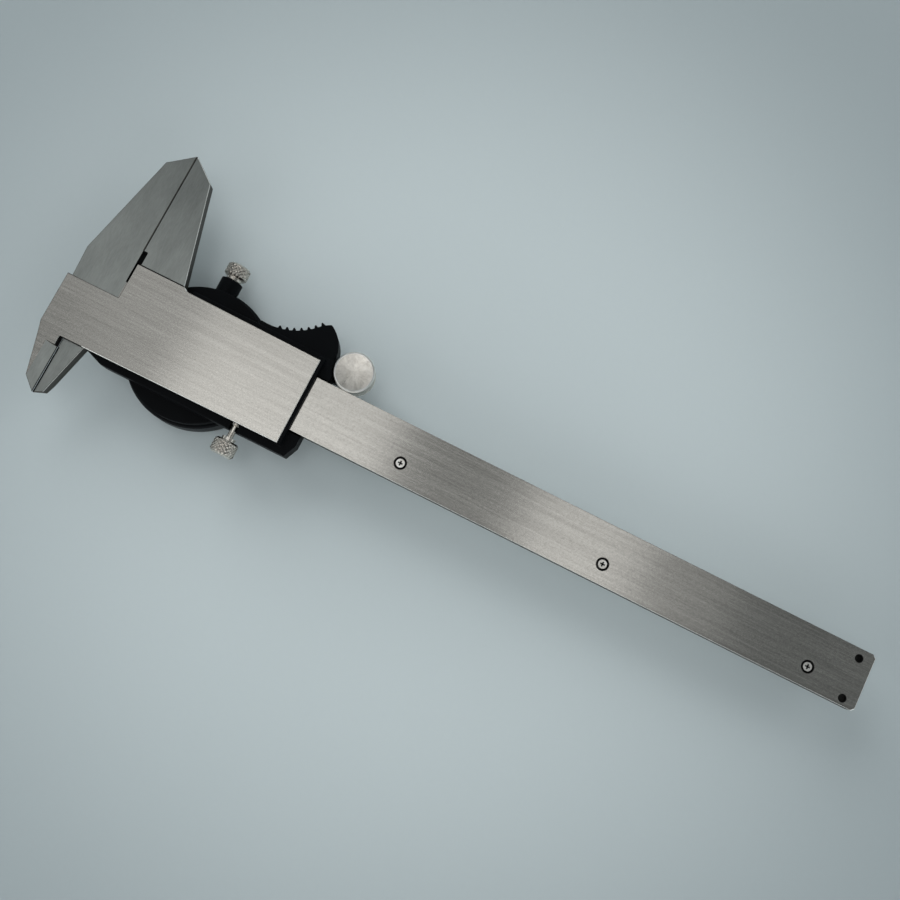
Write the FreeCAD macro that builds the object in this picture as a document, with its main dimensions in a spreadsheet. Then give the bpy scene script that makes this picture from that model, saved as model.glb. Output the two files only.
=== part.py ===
import FreeCAD, Part
import math
import os

import Sketcher

# Driving sizes in millimetres, angles in degrees
# X runs along the beam from the jaws to its free end, Y towards the outer jaws, and Z towards the
# plain back. Until the last step x = 0 is the face where the closed outer jaws meet, y = 0 the middle
# of the beam, and z = 0 the flat front of the bezel.
SIZES = {
    # Fits
    "slide_clearance": 0.05,
    "shaft_clearance": 0.03,
    "thread_clearance": 0.04,
    "seat_clearance": 0.02,
    "clamp_gap": 0.3,
    # Beam and its fixed jaws
    "beam_end": 224.3,
    "beam_width": 16.0,
    "beam_thickness": 3.7,
    "beam_front": 10.5,
    "beam_corner": 0.8,
    "jaw_reach": 48.4,
    "jaw_shoulder": 42.95,
    "jaw_tip_width": 6.9,
    "jaw_knee": 12.1,
    "head_left": 14.2,
    "head_taper": 0.4,
    "inner_face": 7.3,
    "inner_reach": 29.7,
    "inner_root": 13.2,
    "inner_root_width": 6.1,
    "inner_tip_width": 2.5,
    "inner_tip_drop": 1.4,
    "inner_relief": 0.45,
    "relief_length": 2.7,
    "knife_edge": 0.4,
    "knife_width": 3.1,
    "knife_hone": 0.36,
    "jaw_knife_length": 14.0,
    "jaw_knife_width": 3.0,
    # Groove, rack and depth rod
    "groove_start": 9.0,
    "groove_low": 4.9,
    "groove_high": 4.2,
    "groove_depth": 1.6,
    "rack_thickness": 1.2,
    "rack_pitch": 1.0,
    "rack_teeth": 198.0,
    "rack_tip": 1.0,
    "rack_side_gap": 0.1,
    "rack_screw_line": 2.7,
    "rack_screw_first": 28.7,
    "rack_screw_end_gap": 15.6,
    "rack_screw_count": 4.0,
    "rack_screw_diameter": 1.6,
    "rack_screw_head": 3.3,
    "rack_screw_head_depth": 0.85,
    "rod_width": 1.65,
    "rod_thickness": 1.2,
    "rod_start": 45.0,
    "rod_anchor_length": 6.0,
    "rod_anchor_depth": 1.4,
    "rod_step_length": 4.0,
    "rod_step_width": 0.6,
    # End stop
    "stop_length": 6.9,
    "stop_width": 13.6,
    "stop_thickness": 1.3,
    "stop_screw_inset": 4.1,
    "stop_screw_spacing": 11.4,
    "stop_screw_centre": -0.35,
    "stop_screw_diameter": 2.0,
    "stop_screw_head": 3.4,
    "stop_screw_head_height": 1.0,
    "stop_screw_recess": 1.0,
    # Slider frame with the sliding jaws
    "plate_thickness": 1.55,
    "plate_end": 57.1,
    "plate_left": 14.5,
    "plate_high": 13.7,
    "plate_high_end": 12.4,
    "plate_step": 15.3,
    "plate_step_run": 1.3,
    "plate_step_drop": 0.8,
    "plate_low_end": 12.7,
    "plate_low": 13.2,
    "plate_shelf": 3.1,
    "plate_slit": 0.95,
    "jaw_root_width": 14.7,
    "jaw_relief": 1.2,
    "jaw_relief_top": 17.8,
    "rail_start": 0.6,
    "rail_end": 56.0,
    "rail_high": 11.9,
    "rail_low": 12.3,
    "rail_front_gap": 0.1,
    "blade_hip_drop": 1.7,
    "blade_hip_inset": 1.0,
    "blade_shoulder_rise": 3.5,
    "blade_shoulder_width": 3.3,
    # Gib, its screws and the lock screw
    "gib_thickness": 0.8,
    "gib_start": 3.0,
    "gib_end_gap": 1.0,
    "gib_height_gap": 0.15,
    "gib_screw_first": 10.0,
    "gib_screw_pitch": 19.0,
    "gib_screw_diameter": 2.0,
    "lock_x": 44.6,
    "lock_shank": 3.0,
    "lock_head": 6.9,
    "lock_head_length": 4.3,
    "lock_head_start": 17.9,
    "lock_neck": 4.4,
    "lock_neck_length": 0.9,
    "lock_pad_diameter": 2.6,
    "lock_pad_length": 0.8,
    "knob_chamfer": 0.6,
    "knob_slot_width": 0.8,
    "knob_slot_depth": 1.0,
    # Dial housing
    "dial_x": 25.1,
    "dial_y": -0.7,
    "base_front": 7.4,
    "base_left": -0.3,
    "base_corner_run": 5.0,
    "base_corner_rise": 1.8,
    "base_low": 15.0,
    "base_high": 14.2,
    "base_end_low": 60.0,
    "base_end": 61.6,
    "base_end_corner": 3.7,
    "base_disc_rim": 1.0,
    "wall_inset": 2.0,
    "wall_top_gap": 0.6,
    "case_radius": 18.2,
    "case_front": 4.3,
    "case_wall": 1.6,
    "case_floor": 1.15,
    "grip_front": 4.6,
    "grip_back": 12.3,
    "grip_centre_x": 38.9,
    "grip_centre_y": 33.3,
    "grip_radius": 17.8,
    "grip_rib_height": 0.8,
    "grip_rib_width": 1.25,
    "grip_rib_tip": 0.4,
    "grip_rib_first": 11.2,
    "grip_rib_step": 6.5,
    "grip_rib_count": 7.0,
    "grip_start": 36.9,
    "grip_end": 52.5,
    "horn_x": 54.6,
    "horn_top": 23.1,
    "horn_right": 59.9,
    "horn_root": 15.3,
    "horn_radius": 9.5,
    # Thumb roller
    "roller_x": 66.5,
    "roller_radius": 5.67,
    "roller_gap": 0.03,
    "roller_back": 15.0,
    "roller_thickness": 6.4,
    "roller_chamfer": 0.5,
    "roller_nest": 0.45,
    "roller_axle": 3.0,
    "bracket_thickness": 3.0,
    "bracket_radius": 4.2,
    "washer_diameter": 6.0,
    "washer_thickness": 0.4,
    "roller_screw_diameter": 1.6,
    "roller_screw_head": 3.8,
    "roller_screw_head_height": 1.0,
    "roller_screw_depth": 3.0,
    # Bezel clamp
    "clamp_x": 23.1,
    "clamp_height": 6.4,
    "clamp_boss_diameter": 6.2,
    "clamp_boss_reach": 3.4,
    "clamp_hole_length": 4.0,
    "clamp_shank": 3.0,
    "clamp_head": 6.8,
    "clamp_head_length": 3.8,
    "clamp_neck": 4.4,
    "clamp_neck_length": 0.8,
    "clamp_shoe_diameter": 2.6,
    "clamp_shoe_length": 1.4,
    # Bezel, crystal and dial
    "bezel_rim": 1.8,
    "bezel_depth": 7.0,
    "bezel_chamfer": 1.2,
    "bezel_lip_width": 1.0,
    "bezel_lip": 0.9,
    "bezel_seat_width": 0.6,
    "bezel_step": 4.1,
    "crystal_thickness": 1.2,
    "spacer_width": 0.8,
    "spacer_depth": 1.5,
    "dial_thickness": 0.4,
    "dial_hole": 3.4,
    "ring_depth": 0.4,
    "ring_height": 0.4,
    "ring_front": 5.4,
    "ring_gap_angle": 20.0,
    # Movement
    "movement_plate_thickness": 0.8,
    "movement_side_gap": 0.3,
    "bridge_front": 5.4,
    "bridge_thickness": 0.6,
    "bridge_width": 4.6,
    "pillar_diameter": 2.8,
    "pillar_inset": 1.5,
    "bridge_screw_diameter": 1.2,
    "bridge_screw_head": 2.2,
    "bridge_screw_head_height": 0.5,
    "bridge_screw_depth": 2.0,
    "case_screw_line": 10.1,
    "case_screw_diameter": 2.0,
    "case_screw_head": 3.4,
    "case_screw_head_height": 1.0,
    "case_screw_depth": 2.6,
    "gear_side_gap": 0.33,
    "gear_teeth": 50.0,
    "pinion_teeth": 10.0,
    "gear_thickness": 0.6,
    "rack_wheel_front": 6.5,
    "backlash_wheel_front": 7.4,
    "centre_pinion_front": 6.3,
    "centre_pinion_length": 1.9,
    "rack_pinion_thickness": 1.0,
    "rack_pinion_gap": 0.15,
    "arbor_diameter": 1.0,
    "tooth_play": 0.12,
    "hairspring_front": 6.35,
    "hairspring_height": 0.4,
    "hairspring_strip": 0.12,
    "hairspring_inner": 1.2,
    "hairspring_turns": 5.0,
    "hairspring_pitch": 0.55,
    "pointer_height": 2.55,
    "pointer_thickness": 0.25,
    "pointer_end_gap": 3.2,
    "pointer_tail": 4.6,
    "pointer_width": 1.1,
    "pointer_tip": 0.3,
    "pointer_hub": 2.8,
    "pointer_hub_height": 0.75,
    # End wiper
    "wiper_length": 0.95,
    "wiper_thickness": 1.3,
    "wiper_low": 12.6,
    "wiper_high": 12.2,
}

PRESSURE_ANGLE = math.radians(20)
FLANK_STEPS = 3

doc = FreeCAD.newDocument("dial_caliper")


class Size:
    """A length or angle that keeps its number together with its formula in the sheet."""

    def __init__(self, number, formula):
        self.number = float(number)
        self.formula = formula

    def combined(self, other, sign, number):
        other_formula = other.formula if isinstance(other, Size) else repr(float(other))
        return Size(number, "(" + self.formula + " " + sign + " " + other_formula + ")")

    def __add__(self, other):
        return self.combined(other, "+", self.number + number_of(other))

    def __sub__(self, other):
        return self.combined(other, "-", self.number - number_of(other))

    def __mul__(self, other):
        return self.combined(other, "*", self.number * number_of(other))

    def __truediv__(self, other):
        return self.combined(other, "/", self.number / number_of(other))

    def __neg__(self):
        return Size(-self.number, "(0 - " + self.formula + ")")


def number_of(value):
    """Plain number of a Size or of a bare number."""
    return value.number if isinstance(value, Size) else float(value)


def as_size(value):
    """A Size for a bare number, so that zero and the like can stand in an outline."""
    return value if isinstance(value, Size) else Size(value, repr(float(value)))


def square_root(value):
    """Square root of a Size."""
    return Size(math.sqrt(value.number), "sqrt(" + value.formula + ")")


def make_sheet():
    """Writes every driving size into the sheet with its alias."""
    sheet = doc.addObject("Spreadsheet::Sheet", "sizes")
    for row, (alias, value) in enumerate(SIZES.items(), start=1):
        sheet.set("A" + str(row), alias)
        sheet.set("B" + str(row), str(value))
        sheet.setAlias("B" + str(row), alias)
    doc.recompute()
    return sheet


class Sheet:
    """Gives each named cell of the sheet as a Size."""

    def __getattr__(self, alias):
        return Size(SIZES[alias], "sizes." + alias)


s = Sheet()


# Heights shared by several pieces
def beam_back():
    """Height of the beam's plain back face."""
    return s.beam_front + s.beam_thickness


def plate_front():
    """Height of the slider plate's face that rides on the beam's back."""
    return beam_back() + s.slide_clearance


def plate_back():
    """Height of the slider plate's outer face."""
    return plate_front() + s.plate_thickness


def base_back():
    """Height of the housing's face that rides on the beam's front."""
    return s.beam_front - s.rail_front_gap - s.slide_clearance


def case_floor():
    """Height of the floor of the round case that holds the movement."""
    return base_back() - s.case_floor


def half_width():
    """Half of the beam's width."""
    return s.beam_width / 2


def roller_y():
    """Distance of the thumb roller's axis from the middle of the beam."""
    return half_width() + s.roller_gap + s.roller_radius


def roller_front():
    """Height of the roller's front face."""
    return s.roller_back - s.roller_thickness


def bezel_radius():
    """Outer radius of the bezel, around the case."""
    return s.case_radius + s.bezel_rim


def bezel_bore():
    """Radius of the bezel's seat for the crystal and the dial."""
    return s.case_radius - s.bezel_seat_width


def clamp_boss_end():
    """Distance from the beam's middle to the end of the clamp boss, past the bezel's rim."""
    return s.dial_y + bezel_radius() + s.clamp_boss_reach


def movement_plate_radius():
    """Radius of the movement's plate inside the case."""
    return s.case_radius - s.case_wall - s.movement_side_gap


def pillar_offset():
    """Distance from the dial's centre to the bridge's pillars."""
    return movement_plate_radius() - s.pillar_inset


def gear_centres():
    """Centre distance of the wheels, as large as the room between the pillars lets it be."""
    room = pillar_offset() - s.pillar_diameter / 2 - s.gear_side_gap
    return room / ((s.gear_teeth + 2) / (s.gear_teeth + s.pinion_teeth) + 1)


def rack_module():
    """Module of the rack and of the pinion that it drives."""
    return s.rack_pitch / math.pi


def rack_pinion_radius():
    """Pitch radius of the pinion that runs in the rack."""
    return rack_module() * s.pinion_teeth / 2


def wheel_module():
    """Module of the two large wheels and the centre pinion."""
    return gear_centres() * 2 / (s.gear_teeth + s.pinion_teeth)


def rack_wheel_y():
    """Place across the beam of the axis of the pinion that runs in the rack."""
    return rack_pinion_radius() - s.rack_tip - rack_module()


def rack_wheel_x():
    """Place along the beam of the same axis, one centre distance from the dial's centre."""
    rise = rack_wheel_y() - s.dial_y
    return s.dial_x - square_root(gear_centres() * gear_centres() - rise * rise)


# Helpers for bodies and sketches
def bind(thing, path, value):
    """Ties one property to its formula."""
    thing.setExpression(path, as_size(value).formula)


def frame_shift():
    """Moves the model so that its origin is the middle of its footprint on the floor."""
    middle_x = (s.beam_end - s.plate_left) / 2
    middle_y = (s.jaw_reach - s.inner_reach) / 2
    return -middle_x, -middle_y


def place(thing, x=0, y=0, z=0, axis=None, angle=0):
    """Puts a finished sub-part at a point of the model, turned about an axis where one is given."""
    if axis is not None:
        thing.Placement = FreeCAD.Placement(FreeCAD.Vector(), FreeCAD.Rotation(FreeCAD.Vector(*axis), angle))
    shift_x, shift_y = frame_shift()
    bind(thing, "Placement.Base.x", shift_x + as_size(x))
    bind(thing, "Placement.Base.y", shift_y + as_size(y))
    bind(thing, "Placement.Base.z", as_size(z))


def new_body(name):
    """An empty body whose label names its file."""
    body = doc.addObject("PartDesign::Body", name)
    body.Label = name
    return body


def new_sketch(body, name, height=0, plane="XY_Plane"):
    """A sketch on one of the body's own origin planes, raised along the plane's normal."""
    sketch = body.newObject("Sketcher::SketchObject", name)
    support = [feature for feature in body.Origin.OriginFeatures if feature.Role == plane][0]
    sketch.AttachmentSupport = [(support, "")]
    sketch.MapMode = "FlatFace"
    bind(sketch, "AttachmentOffset.Base.z", height)
    return sketch


def fix_point(sketch, edge, end, x, y):
    """Holds one end of an edge, or a circle's centre, at its distances from the sketch's origin."""
    for kind, value in (("DistanceX", x), ("DistanceY", y)):
        size = as_size(value)
        index = sketch.addConstraint(Sketcher.Constraint(kind, -1, 1, edge, end, size.number))
        if isinstance(value, Size):
            bind(sketch, "Constraints[" + str(index) + "]", size)


def fix_radius(sketch, edge, radius):
    """Holds a circle's or an arc's radius."""
    index = sketch.addConstraint(Sketcher.Constraint("Radius", edge, radius.number))
    bind(sketch, "Constraints[" + str(index) + "]", radius)


def arc_between(start, finish, radius, turn):
    """Arc of a given radius from start to finish, bulging left for turn 1 and right for turn -1."""
    chord = finish - start
    middle = (start + finish) * 0.5
    across = FreeCAD.Vector(-chord.y, chord.x, 0).normalize() * turn
    offset = math.sqrt(max(radius**2 - (chord.Length / 2) ** 2, 0))
    summit = middle + across * (radius - offset)
    return Part.Arc(start, summit, finish)


def draw_outline(sketch, points, arcs=None):
    """Closed outline through the points; arcs maps an edge's number to its radius and turn."""
    arcs = arcs or {}
    first = sketch.GeometryCount
    count = len(points)
    corners = [FreeCAD.Vector(number_of(x), number_of(y), 0) for x, y in points]
    ends = []
    for index in range(count):
        start, finish = corners[index], corners[(index + 1) % count]
        if index in arcs:
            radius, turn = arcs[index]
            edge = arc_between(start, finish, number_of(radius), turn)
            sketch.addGeometry(edge, False)
            reverse = (sketch.getPoint(first + index, 1) - start).Length > (
                sketch.getPoint(first + index, 2) - start).Length
            ends.append((2, 1) if reverse else (1, 2))
        else:
            sketch.addGeometry(Part.LineSegment(start, finish), False)
            ends.append((1, 2))
    for index in range(count):
        following = (index + 1) % count
        sketch.addConstraint(Sketcher.Constraint(
            "Coincident", first + index, ends[index][1], first + following, ends[following][0]))
    for index, (x, y) in enumerate(points):
        fix_point(sketch, first + index, ends[index][0], x, y)
    for index, (radius, _) in arcs.items():
        fix_radius(sketch, first + index, as_size(radius))


def draw_box(sketch, left, low, right, high):
    """Rectangle between two corners."""
    draw_outline(sketch, [(left, low), (right, low), (right, high), (left, high)])


def draw_circle(sketch, x, y, diameter):
    """Circle of a given diameter."""
    radius = as_size(diameter) / 2
    centre = FreeCAD.Vector(number_of(x), number_of(y), 0)
    edge = sketch.addGeometry(Part.Circle(centre, FreeCAD.Vector(0, 0, 1), radius.number), False)
    fix_point(sketch, edge, 3, x, y)
    fix_radius(sketch, edge, radius)


def pad(body, sketch, length, name):
    """Adds the sketch's area, raised along its normal."""
    feature = body.newObject("PartDesign::Pad", name)
    feature.Profile = sketch
    bind(feature, "Length", length)
    body.Tip = feature
    return feature


def pocket(body, sketch, length, name, upwards=True):
    """Cuts the sketch's area out, along its normal when upwards and against it otherwise."""
    feature = body.newObject("PartDesign::Pocket", name)
    feature.Profile = sketch
    feature.Reversed = upwards
    bind(feature, "Length", length)
    body.Tip = feature
    return feature


def revolve(body, sketch, name, axis="V_Axis", angle=360):
    """Adds the sketch's area turned about one of its axes."""
    feature = body.newObject("PartDesign::Revolution", name)
    feature.Profile = sketch
    feature.ReferenceAxis = (sketch, [axis])
    bind(feature, "Angle", angle)
    body.Tip = feature
    return feature


def cut_through(body, name, holes, start, depth, plane="XY_Plane"):
    """Round holes given as x, y and diameter, cut from a height over a depth."""
    sketch = new_sketch(body, name + "_sketch", start, plane)
    for x, y, diameter in holes:
        draw_circle(sketch, x, y, diameter)
    return pocket(body, sketch, depth, name)


def turned(name, profile, angle=360):
    """A body turned about its own Z axis from a profile of radius and height pairs."""
    body = new_body(name)
    sketch = new_sketch(body, name + "_profile", 0, "XZ_Plane")
    draw_outline(sketch, profile)
    revolve(body, sketch, name + "_turned", angle=angle)
    return body


# Beam, rack, depth rod and end stop
def make_beam():
    """Flat beam with the fixed outer jaw, the fixed inner blade and the groove for the rack."""
    body = new_body("beam")
    half = half_width()
    inner_low = -s.inner_reach
    blade_right = s.inner_root_width - s.inner_face
    sketch = new_sketch(body, "beam_outline", s.beam_front)
    draw_outline(sketch, [
        (s.beam_end - s.beam_corner, -half),
        (s.beam_end, s.beam_corner - half),
        (s.beam_end, half - s.beam_corner),
        (s.beam_end - s.beam_corner, half),
        (0, half),
        (0, s.jaw_reach),
        (-s.jaw_tip_width, s.jaw_shoulder),
        (-s.head_left, s.jaw_knee),
        (s.head_taper - s.head_left, s.plate_shelf),
        (s.head_taper * 2 - s.head_left, -half),
        (-s.inner_face, -half - s.beam_thickness / 2),
        (-s.inner_face, inner_low),
        (s.inner_tip_width - s.inner_face, inner_low + s.inner_tip_drop),
        (blade_right, -s.inner_root),
        (blade_right + s.head_taper, -half),
    ])
    pad(body, sketch, s.beam_thickness, "beam_pad")

    groove = new_sketch(body, "rack_groove", s.beam_front)
    draw_box(groove, s.groove_start, -s.groove_low, s.beam_end + s.beam_corner, s.groove_high)
    pocket(body, groove, s.groove_depth, "rack_groove_cut")

    knife_top = -s.inner_root - s.relief_length
    knife = new_sketch(body, "inner_knife", s.inner_reach, "XZ_Plane")
    draw_outline(knife, [
        (-s.inner_face - s.beam_corner, s.beam_front - s.beam_corner),
        (s.knife_width - s.inner_face, s.beam_front - s.beam_corner),
        (s.knife_width - s.inner_face, s.beam_front),
        (-s.inner_face, beam_back() - s.knife_edge),
        (-s.inner_face - s.beam_corner, beam_back() - s.knife_edge),
    ])
    pocket(body, knife, s.inner_reach + knife_top, "inner_knife_cut", upwards=False)

    hone = new_sketch(body, "inner_hone", s.inner_reach, "XZ_Plane")
    draw_outline(hone, [
        (-s.inner_face - s.beam_corner, beam_back() - s.knife_hone),
        (-s.inner_face, beam_back() - s.knife_hone),
        (s.knife_hone - s.inner_face, beam_back()),
        (s.knife_hone - s.inner_face, beam_back() + s.beam_corner),
        (-s.inner_face - s.beam_corner, beam_back() + s.beam_corner),
    ])
    pocket(body, hone, s.inner_reach + knife_top, "inner_hone_cut", upwards=False)

    outer_knife(body, "outer_knife", -1)

    cut_through(body, "stop_holes", stop_hole_list(s.stop_screw_diameter), s.beam_front, s.beam_thickness)
    rack_holes = [(x, -s.rack_screw_line, s.rack_screw_diameter) for x in rack_screw_places()]
    cut_through(body, "rack_holes", rack_holes, s.beam_front, s.beam_thickness)
    heads = [(x, -s.rack_screw_line, s.rack_screw_head) for x in rack_screw_places()]
    head_floor = beam_back() - s.rack_screw_head_depth
    cut_through(body, "rack_head_seats", heads, head_floor, s.rack_screw_head_depth)
    place(body)
    return body


def outer_knife(body, name, side):
    """Thins the front of an outer jaw towards its tip, beside the measuring face."""
    sketch = new_sketch(body, name, -s.jaw_reach, "XZ_Plane")
    draw_outline(sketch, [
        (as_size(0), s.beam_front - s.beam_corner),
        (s.jaw_knife_width * side, s.beam_front - s.beam_corner),
        (s.jaw_knife_width * side, s.beam_front),
        (as_size(0), s.beam_front + s.beam_thickness / 2),
    ])
    return pocket(body, sketch, s.jaw_knife_length, name + "_cut", upwards=True)


def rack_screw_places():
    """Places along the beam of the screws that hold the rack."""
    count = int(s.rack_screw_count.number)
    pitch = (s.beam_end - s.rack_screw_end_gap - s.rack_screw_first) / (s.rack_screw_count - 1)
    return [s.rack_screw_first + pitch * index for index in range(count)]


def stop_hole_list(diameter):
    """The end stop's two screw places with a diameter."""
    x = s.beam_end - s.stop_screw_inset
    rise = s.stop_screw_spacing / 2
    return [(x, s.stop_screw_centre + rise, diameter), (x, s.stop_screw_centre - rise, diameter)]


def solid_from_outline(points, height, thickness):
    """Upright solid on a closed outline of x and y pairs."""
    corners = [FreeCAD.Vector(x, y, height) for x, y in points]
    face = Part.Face(Part.makePolygon(corners + corners[:1]))
    return face.extrude(FreeCAD.Vector(0, 0, thickness))


def make_rack():
    """Toothed strip along the bottom of the groove, its teeth towards the outer jaws."""
    pitch = s.rack_pitch.number
    module = rack_module().number
    teeth = int(s.rack_teeth.number)
    tip_line = -s.rack_tip.number
    root_line = tip_line - 2.25 * module
    tip_half = (pitch / 2 - s.tooth_play.number) / 2 - module * math.tan(PRESSURE_ANGLE)
    root_half = tip_half + 2.25 * module * math.tan(PRESSURE_ANGLE)
    low = s.rack_side_gap.number - s.groove_low.number
    first = rack_wheel_x().number - pitch * math.floor((rack_wheel_x().number - s.groove_start.number) / pitch - 1)
    last = first + pitch * teeth
    points = [(first - pitch / 2, low), (last - pitch / 2, low), (last - pitch / 2, root_line)]
    for index in reversed(range(teeth)):
        middle = first + pitch * index
        points.append((middle + root_half, root_line))
        points.append((middle + tip_half, tip_line))
        points.append((middle - tip_half, tip_line))
        points.append((middle - root_half, root_line))
    points.append((first - pitch / 2, root_line))
    height = s.beam_front.number + s.groove_depth.number - s.rack_thickness.number
    rack = solid_from_outline(points, height, s.rack_thickness.number)
    for x in rack_screw_places():
        foot = FreeCAD.Vector(x.number, -s.rack_screw_line.number, height)
        rack = rack.cut(Part.makeCylinder(s.rack_screw_diameter.number / 2, s.rack_thickness.number, foot))
    return shaped("rack", rack)


def shaped(name, shape):
    """A sub-part whose shape is built from the sheet's values directly."""
    feature = doc.addObject("Part::Feature", name)
    feature.Label = name
    feature.Shape = shape
    place(feature)
    return feature


def countersunk(diameter, head, head_depth, length, back):
    """Countersunk screw with its flat head upwards at a height, and its axis at x = y = 0."""
    straight = head_depth * 0.25
    cone_height = head_depth - straight
    shank = Part.makeCylinder(diameter / 2, length - head_depth, FreeCAD.Vector(0, 0, back - length))
    cone = Part.makeCone(diameter / 2, head / 2, cone_height, FreeCAD.Vector(0, 0, back - head_depth))
    rim = Part.makeCylinder(head / 2, straight, FreeCAD.Vector(0, 0, back - straight))
    return shank.fuse([cone, rim]).removeSplitter()


def pan_head(diameter, head, head_height, length, seat, towards=-1):
    """Screw whose flat head starts at a height, its shank on the side away from the head."""
    shank_foot = seat if towards < 0 else seat - length
    head_foot = seat - head_height if towards < 0 else seat
    shank = Part.makeCylinder(diameter / 2, length, FreeCAD.Vector(0, 0, shank_foot))
    cap = Part.makeCylinder(head / 2, head_height, FreeCAD.Vector(0, 0, head_foot))
    return shank.fuse(cap).removeSplitter()


def copies(shape, places):
    """The same solid at several places."""
    spots = [FreeCAD.Vector(number_of(x), number_of(y), 0) for x, y in places]
    return Part.makeCompound([shape.translated(spot) for spot in spots])


def make_rack_screws():
    """Row of small countersunk screws, flush with the beam's back."""
    play = s.thread_clearance.number
    rack_front = s.beam_front.number + s.groove_depth.number - s.rack_thickness.number
    length = beam_back().number - rack_front
    screw = countersunk(s.rack_screw_diameter.number - play, s.rack_screw_head.number - play,
                        s.rack_screw_head_depth.number - s.seat_clearance.number, length, beam_back().number)
    return shaped("rack_screws", copies(screw, [(x, -s.rack_screw_line) for x in rack_screw_places()]))


def make_depth_rod():
    """Flat rod in the groove, hooked into the housing at one end and stepped at the other."""
    body = new_body("depth_rod")
    low = s.groove_high - s.rack_side_gap - s.rod_width
    high = s.groove_high - s.rack_side_gap
    front = s.beam_front + s.groove_depth - s.slide_clearance - s.rod_thickness
    strip = new_sketch(body, "rod_strip", front)
    draw_outline(strip, [
        (s.rod_start, low),
        (s.beam_end, low),
        (s.beam_end, high - s.rod_step_width),
        (s.beam_end - s.rod_step_length, high - s.rod_step_width),
        (s.beam_end - s.rod_step_length, high),
        (s.rod_start, high),
    ])
    pad(body, strip, s.rod_thickness, "rod_pad")
    anchor = new_sketch(body, "rod_anchor", base_back() - s.rod_anchor_depth)
    draw_box(anchor, s.rod_start, low, s.rod_start + s.rod_anchor_length, high)
    pad(body, anchor, front + s.rod_anchor_depth - base_back() + s.rod_thickness / 2, "rod_anchor_pad")
    place(body)
    return body


def make_end_stop():
    """Small plate across the groove's open end, which keeps the slider on the beam."""
    body = new_body("end_stop")
    sketch = new_sketch(body, "stop_outline", s.beam_front - s.stop_thickness)
    half = s.stop_width / 2
    draw_box(sketch, s.beam_end - s.stop_length, s.stop_screw_centre - half,
             s.beam_end, s.stop_screw_centre + half)
    pad(body, sketch, s.stop_thickness, "stop_pad")
    holes = stop_hole_list(s.stop_screw_diameter)
    cut_through(body, "stop_plate_holes", holes, s.beam_front - s.stop_thickness, s.stop_thickness)
    place(body)
    return body


def make_end_stop_screws():
    """Two screws through the end stop into the beam, their ends short of its back."""
    play = s.thread_clearance.number
    seat = s.beam_front.number - s.stop_thickness.number
    length = beam_back().number - s.stop_screw_recess.number - seat
    screw = pan_head(s.stop_screw_diameter.number - play, s.stop_screw_head.number,
                     s.stop_screw_head_height.number, length, seat)
    return shaped("end_stop_screws", copies(screw, [(x, y) for x, y, _ in stop_hole_list(0)]))


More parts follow.
